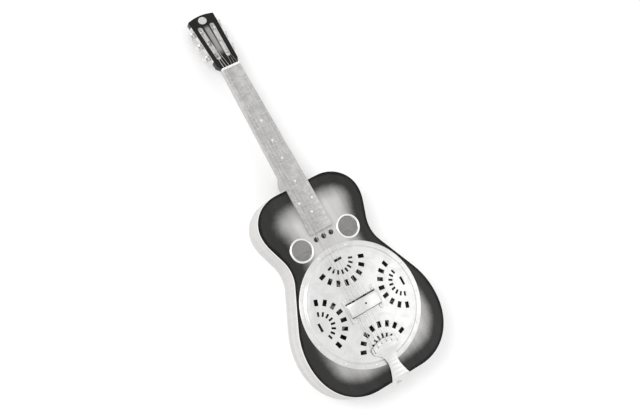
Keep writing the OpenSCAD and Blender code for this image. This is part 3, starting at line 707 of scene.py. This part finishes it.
def build_binding():
    """Pale strips around the top and the back, with softened outer corners."""
    levels = {
        "top": [(0, TOP_IN), (0, TOP_Z - 0.7), (0.2, TOP_Z - 0.2), (0.7, TOP_Z), (BINDING_W, TOP_Z), (BINDING_W, TOP_IN)],
        "back": [(0, BACK_T), (0, 0.9), (0.25, 0.25), (0.9, 0), (BINDING_W, 0), (BINDING_W, BACK_T)],
    }
    parts = []
    for section in levels.values():
        rings = [inset(OUTLINE, d) for d, _ in section]
        count = len(OUTLINE)
        verts = [(*rings[k][i], section[k][1]) for i in range(count) for k in range(len(section))]
        parts.append((verts, grid_faces(count, len(section), wrap_rows=True)))
    me = mesh_of(*joined(parts))
    return finish_mesh("binding_strips", me, M["ivory"], "root", ["binding"])


def build_screens():
    rings, wires = [], []
    profile = [(24.5, -2.6), (27.3, -2.6), (27.3, 0), (29.6, 0), (30.0, 0.3), (29.9, 0.8), (29.2, 1.6),
               (28.2, 2.0), (26.2, 2.0), (25.2, 1.6), (24.6, 0.9), (24.5, 0)]
    reach, pitch, wave, wire = 27.0, 1.5, 0.26, 0.27
    count = int(reach // pitch)
    for s in (-1, 1):
        at = Matrix.Translation((s * SCREEN_X, SCREEN_Y, TOP_Z))
        rings.append(place(lathe(profile, 96, closed=True), at))
        for lay in (0, 1):
            for k in range(-count, count + 1):
                off = k * pitch
                length = math.sqrt(reach ** 2 - off ** 2)
                steps = max(2, int(2 * length / (pitch / 2)))
                path = []
                for j in range(steps + 1):
                    t = -length + 2 * length * j / steps
                    up = wave * math.cos(math.pi * (t / pitch + k + lay))
                    path.append((t, off, up - 3.0) if lay == 0 else (off, t, up - 3.0))
                wires.append(place(tube(path, wire, 5), at))
    finish_mesh("screen_ring_pair", mesh_of(*joined(rings)), M["bright"], "root", ["screen_rings"])
    finish_mesh("woven_screens", mesh_of(*joined(wires)), M["wire"], "root", ["screen_meshes"])


# ---------------------------------------------------------------- cover, cone, hand rest, tailpiece

STEP_R, STEP_H, FLANGE_R, SHEET_T = 131.0, 5.2, 139.5, 1.2
REST_HALF, REST_MID, REST_W = 43.0, -1.5, 31.5
REST_TOP, REST_EDGE, REST_FOOT = 31.0, 23.0, 13.5
# REST_GAP_Y reaches past the strap's neck-side and tail-side edges, so the dark cone seen through the opening makes a
# painted shadow line beside the rest
REST_IN, REST_OUT, REST_GAP_X, REST_GAP_Y = 34.0, 46.5, 41.0, (-19.4, 17.0)


def dome(r):
    """Height of the cover's outer face above the top at radius r."""
    return COVER_TOP - (COVER_TOP - STEP_H) * (np.asarray(r) / STEP_R) ** 2


def build_cover():
    """Pierced dome and pressed rim of the cover plate."""
    low, high = REST_GAP_Y
    holes = fan_holes() + [rounded_rect(0, (low + high) / 2, 2 * REST_GAP_X, high - low, 2.0)]
    holes += [circle(sx * 38.5, -1.5 + sy * 25.5, 1.6, 16) for sx in (-1, 1) for sy in (-1, 1)]
    me = sheet_mesh(circle(0, 0, STEP_R, 192), holes, SHEET_T, 0.22)
    slice_mesh(me, np.arange(-128, 129, 8), np.arange(-128, 129, 8))

    def lift(co):
        r = np.hypot(co[:, 0], co[:, 1])
        co[:, 2] += dome(r) - SHEET_T + TOP_Z
        return co

    move_verts(me, lift)
    finish_mesh("cover_dome", me, M["plate"], "root", ["cover_plate"])
    rim = [(COVER_R - 0.3, 0), (COVER_R, 0.35), (COVER_R - 0.05, 0.95), (COVER_R - 0.5, SHEET_T),
           (FLANGE_R + 1.2, SHEET_T), (FLANGE_R + 0.1, 1.6), (FLANGE_R - 0.8, 2.9), (FLANGE_R - 1.8, 4.1),
           (FLANGE_R - 3.0, 4.75), (FLANGE_R - 5.2, 5.0), (STEP_R - 0.3, STEP_H),
           (STEP_R - 0.3, STEP_H - SHEET_T), (FLANGE_R - 4.6, 3.7), (FLANGE_R - 2.6, 2.4), (FLANGE_R - 1.2, 0)]
    me = mesh_of(*place(lathe(rim, 192, closed=True), Matrix.Translation((0, 0, TOP_Z))))
    finish_mesh("cover_rim", me, M["plate"], "root", ["cover_plate"], sharp=50)


def screw_head(r, height, slot_w=0.7, n=24):
    """Slotted dome head as two half domes on a thin disc."""
    parts = [lathe([(0, 0), (r, 0), (r, height * 0.3), (0, height * 0.3)], n)]
    for side in (1, -1):
        rows = []
        for q in range(6):
            level = height * (0.3 + 0.7 * math.sin(math.pi / 2 * q / 5))
            reach = r * math.cos(math.pi / 2 * q / 5 * 0.86)
            half = [(max(reach * math.sin(math.pi * k / 12), slot_w / 2) * side,
                     -reach * math.cos(math.pi * k / 12), level) for k in range(13)]
            rows.append(half)
        verts, faces = loft(rows)
        parts.append((verts, faces))
    return joined(parts)


def build_cover_screws():
    parts = []
    for k in range(12):
        a = math.radians((k + 0.5) * 30)
        spot = Matrix.Translation((144.8 * math.cos(a), 144.8 * math.sin(a), TOP_Z + SHEET_T))
        parts.append(place(screw_head(2.7, 1.2), spot @ Matrix.Rotation(0.7 * k + 0.4, 4, "Z")))
    finish_mesh("rim_screws", mesh_of(*joined(parts)), M["nickel"], "root", ["cover_screws"])
    parts = []
    for n, (sx, sy) in enumerate([(-1, -1), (-1, 1), (1, -1), (1, 1)]):
        spot = Matrix.Translation((sx * 38.5, -1.5 + sy * 25.5, TOP_Z + 14.7))
        parts.append(place(screw_head(2.5, 1.1), spot @ Matrix.Rotation(1.1 * n, 4, "Z")))
    finish_mesh("rest_screws", mesh_of(*joined(parts)), M["nickel"], "root", ["hand_rest_screws"])


def build_hand_rest():
    """Arched strap with rolled long edges, end walls and screwed feet."""
    def arch(x):
        return REST_TOP - (REST_TOP - REST_EDGE) * (x / REST_HALF) ** 2

    path = [(-REST_HALF + 0.6, REST_FOOT), (-REST_HALF + 0.6, REST_EDGE - 3.2)]
    bend = [(-REST_HALF + 0.6 + 2.4 * (1 - math.cos(a)), REST_EDGE - 3.2 + 3.0 * math.sin(a))
            for a in np.radians([20, 40, 60, 80])]
    crown = [(x, arch(x) - 0.9) for x in np.linspace(-REST_HALF + 4.5, REST_HALF - 4.5, 41)]
    path = path + bend + crown + [(-x, z) for x, z in reversed(bend)] + [(-x, z) for x, z in reversed(path)]
    path = np.array(path)
    tangent = np.gradient(path, axis=0)
    tangent /= np.linalg.norm(tangent, axis=1)[:, None]
    normal = np.column_stack([-tangent[:, 1], tangent[:, 0]])
    half_w, t = REST_W / 2, SHEET_T / 2
    across = [(-half_w, -0.3), (-half_w + 0.2, 0.45), (-half_w + 0.8, 1.0), (-half_w / 2, 1.0), (0, 1.0),
              (half_w / 2, 1.0), (half_w - 0.8, 1.0), (half_w - 0.2, 0.45), (half_w, -0.3), (half_w - 0.4, -1.0),
              (half_w / 2, -1.0), (0, -1.0), (-half_w / 2, -1.0), (-half_w + 0.4, -1.0)]
    rings = []
    for p, n in zip(path, normal):
        rings.append([(p[0] + n[0] * t * h, REST_MID + y, TOP_Z + p[1] + n[1] * t * h) for y, h in across])
    parts = [loft(rings)]
    finish_mesh("hand_rest_strap", mesh_of(*joined(parts)), M["plate"], "root", ["hand_rest"])
    feet = []
    low, high, notch = REST_GAP_Y[0] - 1.2, REST_GAP_Y[1] + 1.2, REST_GAP_X + 0.8
    far = 31.0
    for s in (-1, 1):
        ends = [arc(REST_OUT - 4, far - 4, 4, 0, 90, 6), arc(REST_IN + 4, far - 4, 4, 90, 180, 6)]
        lobe = np.vstack([ends[0], ends[1]])
        inner = [(REST_IN, high - REST_MID + 1), (REST_IN + 1, high - REST_MID), (notch, high - REST_MID),
                 (notch, low - REST_MID), (REST_IN + 1, low - REST_MID), (REST_IN, low - REST_MID - 1)]
        plan = np.vstack([lobe, inner, lobe[::-1] * [1, -1]]) * [s, 1] + [0, REST_MID]
        me = sheet_mesh(plan, [circle(s * 38.5, REST_MID + k * 25.5, 1.6, 16) for k in (-1, 1)], SHEET_T, 0.2)
        me.transform(Matrix.Translation((0, 0, TOP_Z + REST_FOOT)))
        feet.append(me)
    for s, me in zip(("bass", "treble"), feet):
        finish_mesh("hand_rest_foot_" + s, me, M["plate"], "root", ["hand_rest"])
    # black dish standing in for the hole at the rest's crown: painted shade of the hole's dark inside
    eyelet = [(0, -0.6), (2.4, -0.6), (2.4, -0.1), (2.1, 0.0), (1.7, -0.1), (1.5, -0.25), (0, -0.27)]
    me = mesh_of(*place(lathe(eyelet, 24), Matrix.Translation((0, REST_MID, TOP_Z + REST_TOP))))
    finish_mesh("hand_rest_hole_painted_dark", me, M["head"], "root", ["hand_rest"])


def build_cone():
    """Spun cone: rolled rim, long flank down to the valley and a ribbed inner cone up to the flat centre."""
    upper = [(133, -22.0), (131, -21.9), (126.5, -22.0)]
    upper += [(r, -22 - 20 * ((126 - r) / 56) ** 0.92) for r in np.linspace(124, 72, 18)]
    upper += [(70, -42.0)]
    upper += [(r, -42 + 27 * ((70 - r) / 61) + 0.5 * math.cos(math.pi * (70 - r) / 6)) for r in np.linspace(67, 11, 20)]
    upper += [(9, -15.0), (1.7, -15.0)]
    under = [(r, z - 0.7) for r, z in reversed(upper)]
    me = mesh_of(*place(lathe(upper + under, 160, closed=True), Matrix.Translation((0, 0, TOP_Z))))
    finish_mesh("spun_cone", me, M["spun"], "root", ["cone"], sharp=60)


TAIL_PATH = [(-92.0, 13.6), (-118.0, 12.2), (-152.0, 6.6), (-188.0, 3.5), (-193.0, 2.3), (-195.3, -0.2),
             (-TAIL_Y - 1.6, -4.0), (-TAIL_Y - 1.6, -38.0)]


def build_tailpiece():
    """Plate cut flat, then bent down along its side view: a curve over the cover and a skirt over the tail."""
    path = resample(np.array(TAIL_PATH), 1.0, closed=False)
    run = np.concatenate([[0], np.cumsum(np.linalg.norm(np.diff(path, axis=0), axis=1))])

    def flat(y):
        """How far along the path a place at y lies, on the part above the tail edge."""
        return float(np.interp(-y, -path[:int(len(path) * 0.75), 0], run[:int(len(path) * 0.75)]))

    front = [(x, flat(-93 - 11 * (x / 37.5) ** 2)) for x in np.linspace(0, 36.5, 9)]
    edge = [(37.5, -106.0), (37.5, -112.5), (36.4, -117), (32.5, -121.4), (27, -125), (21.5, -129.5), (17.2, -136),
            (14.6, -144), (13.6, -152), (14.6, -162), (17.4, -173), (21.2, -184), (24.6, -191)]
    side = front + [(x, flat(y)) for x, y in edge]
    skirt = run[-1]
    side += [(26.6, skirt - 36), (27, skirt - 30), (26.8, skirt - 22), (24.4, skirt - 13), (19.5, skirt - 6),
             (12, skirt - 1.4), (5, skirt - 0.1)]
    right = np.array(side)
    ring = np.vstack([right, right[1:][::-1] * [-1, 1]])
    holes = []
    for i in TUNERS:
        x = TAIL_SPREAD * ((i - 1) / 5 - 0.5)
        holes.append(circle(x, flat(-101.5 - 0.0122 * x * x), 1.5, 20))
    pin_at = skirt - (56 - (TOP_Z - 38))
    holes.append(circle(0, pin_at, 4.05, 32))
    me = sheet_mesh(ring, holes, 1.5, 0.28)
    slice_mesh(me, [], np.arange(1.5, skirt, 1.5))
    tangent = np.gradient(path, axis=0)
    tangent /= np.linalg.norm(tangent, axis=1)[:, None]

    def wrap(co):
        s = co[:, 1]
        y = np.interp(s, run, path[:, 0])
        z = np.interp(s, run, path[:, 1])
        ty = np.interp(s, run, tangent[:, 0])
        tz = np.interp(s, run, tangent[:, 1])
        under = co[:, 2] - 1.5
        return np.column_stack([co[:, 0], y + under * tz, TOP_Z + z - under * ty])

    move_verts(me, wrap)
    finish_mesh("bent_tailpiece", me, M["plate"], "root", ["tailpiece"], sharp=40)


def build_end_pin():
    profile = [(0, 0), (6.3, 0), (6.5, 0.4), (6.2, 1.6), (4.8, 3.1), (4.2, 4.4), (4.2, 5.6), (5.2, 6.9), (6.9, 7.9),
               (7.5, 9.3), (7.1, 10.9), (5.6, 12.1), (3.0, 12.7), (0, 12.8)]
    at = Matrix.Translation((0, -TAIL_Y - 1.6, 56)) @ Matrix.Rotation(math.pi / 2, 4, "X")
    finish_mesh("strap_button", mesh_of(*place(lathe(profile, 64), at)), M["ivory"], "root", ["end_pin"])


# ---------------------------------------------------------------- neck and headstock

def neck_half(y):
    """Half width of the neck at y along it from the body."""
    return HEEL_HALF + (NUT_HALF - HEEL_HALF) * y / NUT_AT


def smooth(t):
    t = min(1.0, max(0.0, t))
    return t * t * (3 - 2 * t)


def shaft_half(half, deep, z):
    """Half width of the square neck's section at depth z: flat side, rounded edge, flat back."""
    if z > deep:
        return 0.0
    return min(half, math.sqrt((NECK_CORNER * half) ** 2 - z * z))


def heel_half(y, z):
    """Half width of the heel at a place along the body's axis and a height over the back."""
    nose = HEEL_HALF_CAD * math.sqrt(max(0.0, 1 - ((y - JOIN_Y) / (HEEL_LEN + 1)) ** 2))
    rise = (z - HEEL_Z) / (TOP_Z - 2 - HEEL_Z)
    return min(nose, HEEL_FOOT + (HEEL_HALF_CAD - HEEL_FOOT) * math.sqrt(max(0.0, min(1.0, rise))))


NECK_CORNER = 1.115
HEEL_Z, HEEL_LEN, HEEL_FOOT, HEEL_HALF_CAD = 8.0, 57.0, 17.0, 28.5
NECK_DEEP = 20.0


def neck_ring(y, side=30, back=12):
    """Section of the neck and heel at y: down one side, across the back and up the other side."""
    along = (y - JOIN_Y) / math.cos(NECK_ANGLE)
    upper = TOP_Z - (y - JOIN_Y) * math.tan(NECK_ANGLE)
    half = neck_half(along)
    shaft = NECK_DEEP * half / neck_half(HEAD_AT)
    reach = (y - JOIN_Y - HEEL_LEN) / (HEEL_LEN - 16)
    bottom = upper - shaft
    if -1 < reach < 0:
        bottom = min(bottom, HEEL_Z + 49 * math.sqrt(1 - reach ** 2))
    elif reach <= -1:
        bottom = HEEL_Z
    deep = upper - bottom
    points = []
    for k in range(side + 1):
        z = deep * (k / side) ** 0.9
        x = shaft_half(half, shaft, z)
        if y < JOIN_Y + HEEL_LEN:
            x = max(x, heel_half(y, upper - z))
        points.append([x, z])
    points = np.array(points)
    foot = points[-1, 0]
    across = np.array([[foot * (1 - k / back), deep] for k in range(1, back + 1)])
    points = np.vstack([points, across])
    for _ in range(5):
        points[1:-1] = (points[:-2] + 2 * points[1:-1] + points[2:]) / 4
    right = [(x, y, upper - z) for x, z in points]
    left = [(-x, y, upper - z) for x, z in points[:-1]][::-1]
    return np.array(right + left)


def build_neck():
    """Square neck with rounded edges that swells into a deep heel, and the pale cap under the heel."""
    shaft_end = JOIN_Y + HEAD_AT * math.cos(NECK_ANGLE)
    spots = list(np.linspace(shaft_end, JOIN_Y + 84, 16)) + list(np.linspace(JOIN_Y + 80, JOIN_Y + 18, 32))
    spots += list(np.linspace(JOIN_Y + 16, JOIN_Y, 9))
    rings = np.array([neck_ring(y) for y in spots])
    for _ in range(6):
        rings[1:-8, :, ::2] = (rings[:-9, :, ::2] + 2 * rings[1:-8, :, ::2] + rings[2:-7, :, ::2]) / 4
    rings[:, :, 2] = np.maximum(rings[:, :, 2], HEEL_Z)
    finish_mesh("neck_and_heel", mesh_of(*loft(list(rings))), M["neck"], "root", ["neck"], sharp=50)
    cap = [(HEEL_FOOT * math.cos(a), 15.5 * abs(math.sin(a)) ** 0.6) for a in np.linspace(0, math.pi, 33)]
    me = sheet_mesh(np.array(cap), [], 1.5, 0.3)
    me.transform(Matrix.Translation((0, JOIN_Y, 6.5)))
    finish_mesh("heel_button", me, M["ivory"], "root", ["heel_cap"])


def lean_half(y):
    """Half width of the headstock at y, out of its leaning sides."""
    return HEAD_HALF + (y - LEAN_Y) * math.tan(HEAD_LEAN)


def head_half(y):
    flare = min(1.0, max(0.0, y / 15))
    return NUT_HALF + (lean_half(max(y, 15)) - NUT_HALF) * (1 - math.cos(math.pi * flare)) / 2


def head_outline(start):
    """Outline of the headstock from a line near the nut to its crowned end, seen on its face."""
    corner_y = HEAD_LEN - CROWN_DROP
    wide = lean_half(corner_y)
    right = [(head_half(y), y) for y in np.linspace(start, 15, 8)]
    right += [(lean_half(y), y) for y in (40, 80, 110, corner_y - 1.2)]
    right += [(wide - 0.3, corner_y - 0.2)]
    right += [(x, HEAD_LEN - CROWN_DROP * (x / wide) ** 2) for x in (wide - 1.2, 28, 21, 14, 7)]
    right = np.array(right)
    return np.vstack([right * [-1, 1], [[0, HEAD_LEN]], right[::-1]])[::-1]


def flat_matrix(s):
    """The leaning frame of one side, within the headstock's own plane."""
    return HEAD.inverted() @ SIDE[s]


def head_slots():
    slots = []
    for s in (-1, 1):
        low, high = SLOT_START + SLOT_W / 2, SLOT_END - SLOT_W / 2
        ring = np.vstack([arc(s * SLOT_X, high, SLOT_W / 2, 0, 180, 16), arc(s * SLOT_X, low, SLOT_W / 2, 180, 360, 16)])
        turn = flat_matrix(s)
        slots.append(np.array([(turn @ Vector((x, y, 0)))[:2] for x, y in ring]))
    return slots


def build_headstock():
    """Black core with softened back edges, its throat behind the nut, and the lacquered face."""
    me = sheet_mesh(head_outline(13.5), head_slots(), HEAD_T - VENEER_T, 0.7)
    me.transform(HEAD @ Matrix.Translation((0, 0, -HEAD_T)))
    finish_mesh("headstock_core", me, M["head"], "root", ["neck"])
    rings = []
    count = 18
    for y in np.linspace(0, 15, 12):
        t = smooth(y / 13)
        deep = NECK_DEEP - 0.6 + (HEAD_T - NECK_DEEP + 0.6) * t
        half = head_half(y)
        side = [(min(half, math.sqrt(max(0.0, (NECK_CORNER * half) ** 2 - z * z)) * (1 - t) + half * t), z)
                for z in np.linspace(VENEER_T, deep - 0.7, count)]
        ring = side + [(side[-1][0] - 0.7, deep)]
        section = [(x, -z) for x, z in ring] + [(-x, -z) for x, z in ring[::-1]]
        rings.append([tuple(HEAD @ Vector((x, y, z))) for x, z in section])
    finish_mesh("headstock_throat", mesh_of(*loft(rings)), M["head"], "root", ["neck"], sharp=50)
    recess = circle(0, 0, 1, 48) * [10.5, 9.5] + [0, INLAY_Y]
    me = sheet_mesh(head_outline(0), head_slots() + [recess], VENEER_T, 0.15)
    set_uv(me, lambda co, i: (co[0] * MM, co[1] * MM))
    me.transform(HEAD @ Matrix.Translation((0, 0, -VENEER_T)))
    finish_mesh("headstock_face", me, M["face"], "root", ["head_veneer"])
    for s, slot in zip(("bass", "treble"), head_slots()):
        me = sheet_mesh(slot, [inset(slot[::-1], 0.2)], HEAD_T - VENEER_T - 1.6)
        me.transform(HEAD @ Matrix.Translation((0, 0, 0.8 - HEAD_T)))
        finish_mesh("slot_wall_" + s, me, M["bare"], "root", ["neck"])


# ---------------------------------------------------------------- strings

def side_of(i):
    return -1 if i <= 3 else 1


def post_y(i):
    return POST_FIRST + POST_PITCH * (i - 1 if i <= 3 else 6 - i)


def post_string_x(i):
    return side_of(i) * [17.5, 15.0, 12.2][i - 1 if i <= 3 else 6 - i]


def spread(i, width):
    return width * ((i - 1) / 5 - 0.5)


def string_path(i):
    """Corner points of string i, from its ball to its roller, in the row frame."""
    r = STRING_R[i - 1]
    x = spread(i, TAIL_SPREAD)
    y = -101.5 - 0.0122 * x * x
    tail = Vector((x, y, TOP_Z + 13.6 + (y + 92) * 1.4 / 26 + r + 0.15))
    nut_x = spread(i, NUT_SPREAD)
    nut_z = BOARD_T + 1.5 + r
    post = Vector((post_string_x(i), post_y(i) - 0.6, POST_Z + SLEEVE_R + r + 0.3))
    return [
        tail - Vector((0, 0, 2.4 + r)),
        tail - Vector((0, 0, r)),
        tail + Vector((0, r, 0.02)),
        Vector((spread(i, SADDLE_SPREAD), 0, node_box("saddles")[1][2] + r + 0.15)),
        NECK @ Vector((nut_x, NUT_AT, nut_z)),
        NECK @ Vector((nut_x, HEAD_AT, nut_z)),
        SIDE[side_of(i)] @ post,
    ]


def build_strings():
    for group, nodes, material, slot in (
        (range(1, 5), "wound_strings", "wound", "wound_bronze"),
        (range(5, 7), "plain_strings", "steel", "plain_steel"),
    ):
        for i in group:
            r = STRING_R[i - 1]
            corners = string_path(i)
            path, run = [], []
            for a, b in zip(corners, corners[1:]):
                steps = max(1, int((b - a).length / 40))
                path += [a.lerp(b, k / steps) for k in range(steps)]
            path.append(corners[-1])
            verts, faces = tube(path, r, 10)
            me = mesh_of(verts, faces)
            total = [0.0]
            for a, b in zip(path, path[1:]):
                total.append(total[-1] + (b - a).length)
            set_uv(me, lambda co, v: (total[v // 10] * MM, (v % 10) / 10))
            finish_mesh(f"string_{i}", me, M[material], "root", [nodes], sharp=60)
            ball = corners[0] - Vector((0, 0, 0.6))
            barrel = lathe([(0, -1), (1.5, -1), (1.8, -0.6), (1.8, 0.6), (1.5, 1), (0, 1)], 20)
            me = mesh_of(*place(barrel, Matrix.Translation(ball) @ Matrix.Rotation(math.pi / 2, 4, "Y")))
            finish_mesh(f"string_ball_{i}", me, M["brass"], "root", [nodes])
            build_winding(i, r)


def build_winding(i, r):
    """The turns of string i around its roller, which go round with it."""
    turns = 4.3
    inwards = -1 if abs(post_string_x(i)) > 14 else 1
    at = SIDE[side_of(i)] @ Matrix.Translation((0, post_y(i), POST_Z))
    path = []
    steps = int(turns * 20)
    reach = SLEEVE_R + r + 0.02
    for k in range(steps + 1):
        a = 2 * math.pi * turns * k / steps - 0.12
        x = post_string_x(i) + side_of(i) * inwards * 2.06 * r * a / (2 * math.pi)
        path.append(at @ Vector((x, reach * math.sin(a), reach * math.cos(a))))
    wound = i <= 4
    me = mesh_of(*tube(path, r, 8))
    step = 2 * math.pi * turns / steps * reach
    set_uv(me, lambda co, v: (v // 8 * step * MM, (v % 8) / 8))
    finish_mesh(f"string_turns_{i}", me, M["wound" if wound else "steel"], f"post_{i}", [],
                sharp=60)


# ---------------------------------------------------------------- tuners

def build_button(i):
    """Flattened oval button with a metal ferrule, on its worm shaft."""
    at = SIDE[side_of(i)] @ Matrix.Translation((side_of(i) * WORM_X, post_y(i) + WORM_OFF, 0))
    rings = []
    for k in range(15):
        t = k / 14
        z = -20.4 - 17.5 * t
        swell = math.sin(math.pi * min(1, 0.16 + 0.84 * t)) ** 0.55 if t < 1 else 0.0
        wide = 3.2 + 5.2 * max(0.0, math.sin(math.pi * (0.10 + 0.90 * t))) ** 0.6
        thick = 2.6 + 2.3 * max(0.0, math.sin(math.pi * (0.10 + 0.90 * t))) ** 0.6
        close = math.sqrt(max(0.0, 1 - max(0.0, (t - 0.8) / 0.2) ** 2)) if t < 1 else 0.0
        wide, thick = max(0.4, wide * close), max(0.3, thick * close)
        rings.append([tuple(at @ Vector((thick * math.cos(a), wide * math.sin(a), z)))
                      for a in np.linspace(0, 2 * math.pi, 33)[:-1]])
    finish_mesh(f"tuner_button_{i}", mesh_of(*loft(rings)), M["pearloid"], f"key_{i}", [f"button_{i}"],
                sharp=60)
    ferrule = [(1.9, -18.3), (2.9, -18.5), (3.1, -19.2), (2.8, -20.6), (1.9, -20.8)]
    finish_mesh(f"button_ferrule_{i}", mesh_of(*place(lathe(ferrule, 28, closed=True), at)), M["nickel"], f"key_{i}",
                [])


def build_worm(i):
    """Worm shaft with collars, a right-handed thread beside the gear and a rounded tip."""
    at = SIDE[side_of(i)] @ Matrix.Translation((side_of(i) * WORM_X, post_y(i) + WORM_OFF, 0))
    shaft = [(0, 1.6), (1.1, 1.5), (1.7, 1.1), (1.9, 0.95), (2.9, 0.9), (3.0, 0.5), (2.9, 0.12), (1.88, 0.1),
             (1.88, -15.2), (2.9, -15.25), (3.0, -15.9), (2.9, -16.6), (1.9, -16.7), (1.9, -30), (0, -30)]
    parts = [place(lathe(shaft, 32), at)]
    pitch = 2 * math.pi * 5.6 / GEAR_TEETH
    turns = 3.6
    steps = int(turns * 28)   # the crest faces the gear, which has a valley there at rest
    middle = POST_Z
    rings = []
    for k in range(steps + 1):
        t = k / steps
        a = 2 * math.pi * turns * (t - 0.5) - math.pi / 2
        z = middle + pitch * turns * (t - 0.5)
        grow = min(1.0, 6 * t, 6 * (1 - t))
        top = 1.8 + 1.15 * grow
        out = Vector((math.cos(a), math.sin(a), 0))
        rings.append([tuple(at @ (out * rad + Vector((0, 0, z + dz))))
                      for rad, dz in ((1.7, -0.85), (top, -0.28), (top, 0.28), (1.7, 0.85))])
    parts.append(loft(rings))
    finish_mesh(f"worm_shaft_{i}", mesh_of(*joined(parts)), M["steel"], f"key_{i}", [f"worm_{i}"])




def build_gear(i):
    """Fourteen-tooth brass gear with a hub and its slotted screw, on the end of the string post."""
    tooth = 2 * math.pi / GEAR_TEETH
    shape = []
    for k in range(GEAR_TEETH):
        for step, rad in ((-0.34, 4.75), (-0.28, 4.95), (-0.16, 6.1), (-0.10, 6.3), (0.10, 6.3), (0.16, 6.1),
                          (0.28, 4.95), (0.34, 4.75)):
            a = (k + step) * tooth
            shape.append((rad * math.cos(a), rad * math.sin(a)))
    me = sheet_mesh(np.array(shape), [], GEAR_W, 0.18)
    turn = Matrix.Rotation(side_of(i) * math.pi / 2, 4, "Y")
    at = SIDE[side_of(i)] @ Matrix.Translation((0, post_y(i), POST_Z)) @ turn
    me.transform(at @ Matrix.Translation((0, 0, GEAR_X)))
    finish_mesh(f"brass_gear_{i}", me, M["brass"], f"post_{i}", [f"gear_{i}"])
    head = place(screw_head(2.2, 0.98, 0.6), at @ Matrix.Translation((0, 0, GEAR_X + GEAR_W)))
    finish_mesh(f"gear_screw_{i}", mesh_of(*head), M["steel"], f"post_{i}", [f"gear_{i}"])
    sleeve = [(3.0, 8.8), (4.5, 8.8), (4.8, 9.2), (4.7, 10.5), (4.62, 14.5), (4.7, 18.5), (4.8, 19.8), (4.5, 20.2),
              (3.0, 20.2)]
    finish_mesh(f"string_roller_{i}", mesh_of(*place(lathe(sleeve, 40), at)), M["roller"], f"post_{i}",
                [f"roller_{i}"])
    post = [(0, 4.6), (2.8, 4.6), (3.0, 4.9), (3.0, GEAR_X + 0.5), (0, GEAR_X + 0.5)]
    finish_mesh(f"string_post_{i}", mesh_of(*place(lathe(post, 32), at)), M["steel"], f"post_{i}",
                [f"roller_{i}"])


def build_plate_screws():
    parts = []
    for s in (-1, 1):
        for k, y in enumerate((-10.5, POST_PITCH / 2 + 1.2, 1.5 * POST_PITCH + 1.2, 2 * POST_PITCH + 16.8)):
            spot = SIDE[s] @ Matrix.Translation((s * PLATE_X, POST_FIRST + y, POST_Z))
            turn = Matrix.Rotation(s * math.pi / 2, 4, "Y") @ Matrix.Rotation(0.9 * k + 0.3, 4, "Z")
            parts.append(place(screw_head(2.2, 0.9, 0.55), spot @ turn))
    finish_mesh("tuner_screws", mesh_of(*joined(parts)), M["nickel"], "root", ["plate_screws"])


# ---------------------------------------------------------------- stage, light and camera

def build_stage():
    me = bpy.data.meshes.new("floor")
    me.from_pydata([(-6, -6, 0), (6, -6, 0), (6, 6, 0), (-6, 6, 0)], [], [(0, 1, 2, 3)])
    me.materials.append(M["floor"])
    floor = bpy.data.objects.new("floor", me)
    bpy.context.scene.collection.objects.link(floor)


def add_light(name, place_at, aim, size, power):
    lamp = bpy.data.lights.new(name, "AREA")
    lamp.shape = "DISK"
    lamp.size = size
    lamp.energy = power
    holder = bpy.data.objects.new(name, lamp)
    holder.location = place_at
    holder.rotation_euler = (Vector(aim) - Vector(place_at)).to_track_quat("-Z", "Y").to_euler()
    bpy.context.scene.collection.objects.link(holder)


def build_light_and_camera():
    scene = bpy.context.scene
    scene.view_settings.view_transform = "Standard"
    world = bpy.data.worlds.new("studio")
    world.use_nodes = True
    world.node_tree.nodes["Background"].inputs[0].default_value = (1, 1, 1, 1)
    world.node_tree.nodes["Background"].inputs[1].default_value = 0.9
    scene.world = world
    add_light("key", (-1.6, 1.3, 2.6), (0, 0.15, 0), 1.6, 34)
    add_light("fill", (2.2, -0.6, 2.4), (0, 0.1, 0), 2.4, 9)
    camera = bpy.data.cameras.new("camera")
    camera.sensor_width = 36
    camera.lens = 60.13
    camera.clip_end = 50
    holder = bpy.data.objects.new("camera", camera)
    right = Vector((0.81971, -0.47952, 0.31326)).normalized()
    back = Vector((-0.37380, -0.03346, 0.92691)).normalized()
    up = back.cross(right).normalized()
    right = up.cross(back)
    turn = Matrix((right, up, back)).transposed().to_4x4()
    holder.matrix_world = Matrix.Translation((-0.91639, 0.15540, 2.40947)) @ turn
    scene.collection.objects.link(holder)
    scene.camera = holder


build_light_and_camera()
build_stage()
build_top()
build_back()
side_wall("bass_rib", "bass_side", -1)
side_wall("treble_rib", "treble_side", 1)
build_binding()
build_screens()
build_cover()
build_cover_screws()
build_hand_rest()
build_cone()
build_tailpiece()
build_end_pin()
build_neck()
build_headstock()
build_strings()
for tuner in TUNERS:
    build_button(tuner)
    build_worm(tuner)
    build_gear(tuner)
build_plate_screws()

repaint(M["inner"], "linings", "neck_block", "tail_block", "soundwell", "braces")
repaint(M["dark_steel"], "neck_bar", "tension_screw")
repaint(M["board"], "fretboard")
repaint(M["steel"], "frets")
repaint(M["pearl"], "position_dots")
repaint(M["inlay"], "head_inlay")
repaint(M["bone"], "nut")
repaint(M["cast"], "spider")
repaint(M["saddle"], "saddles")
repaint(M["chrome"], "tuner_plates")
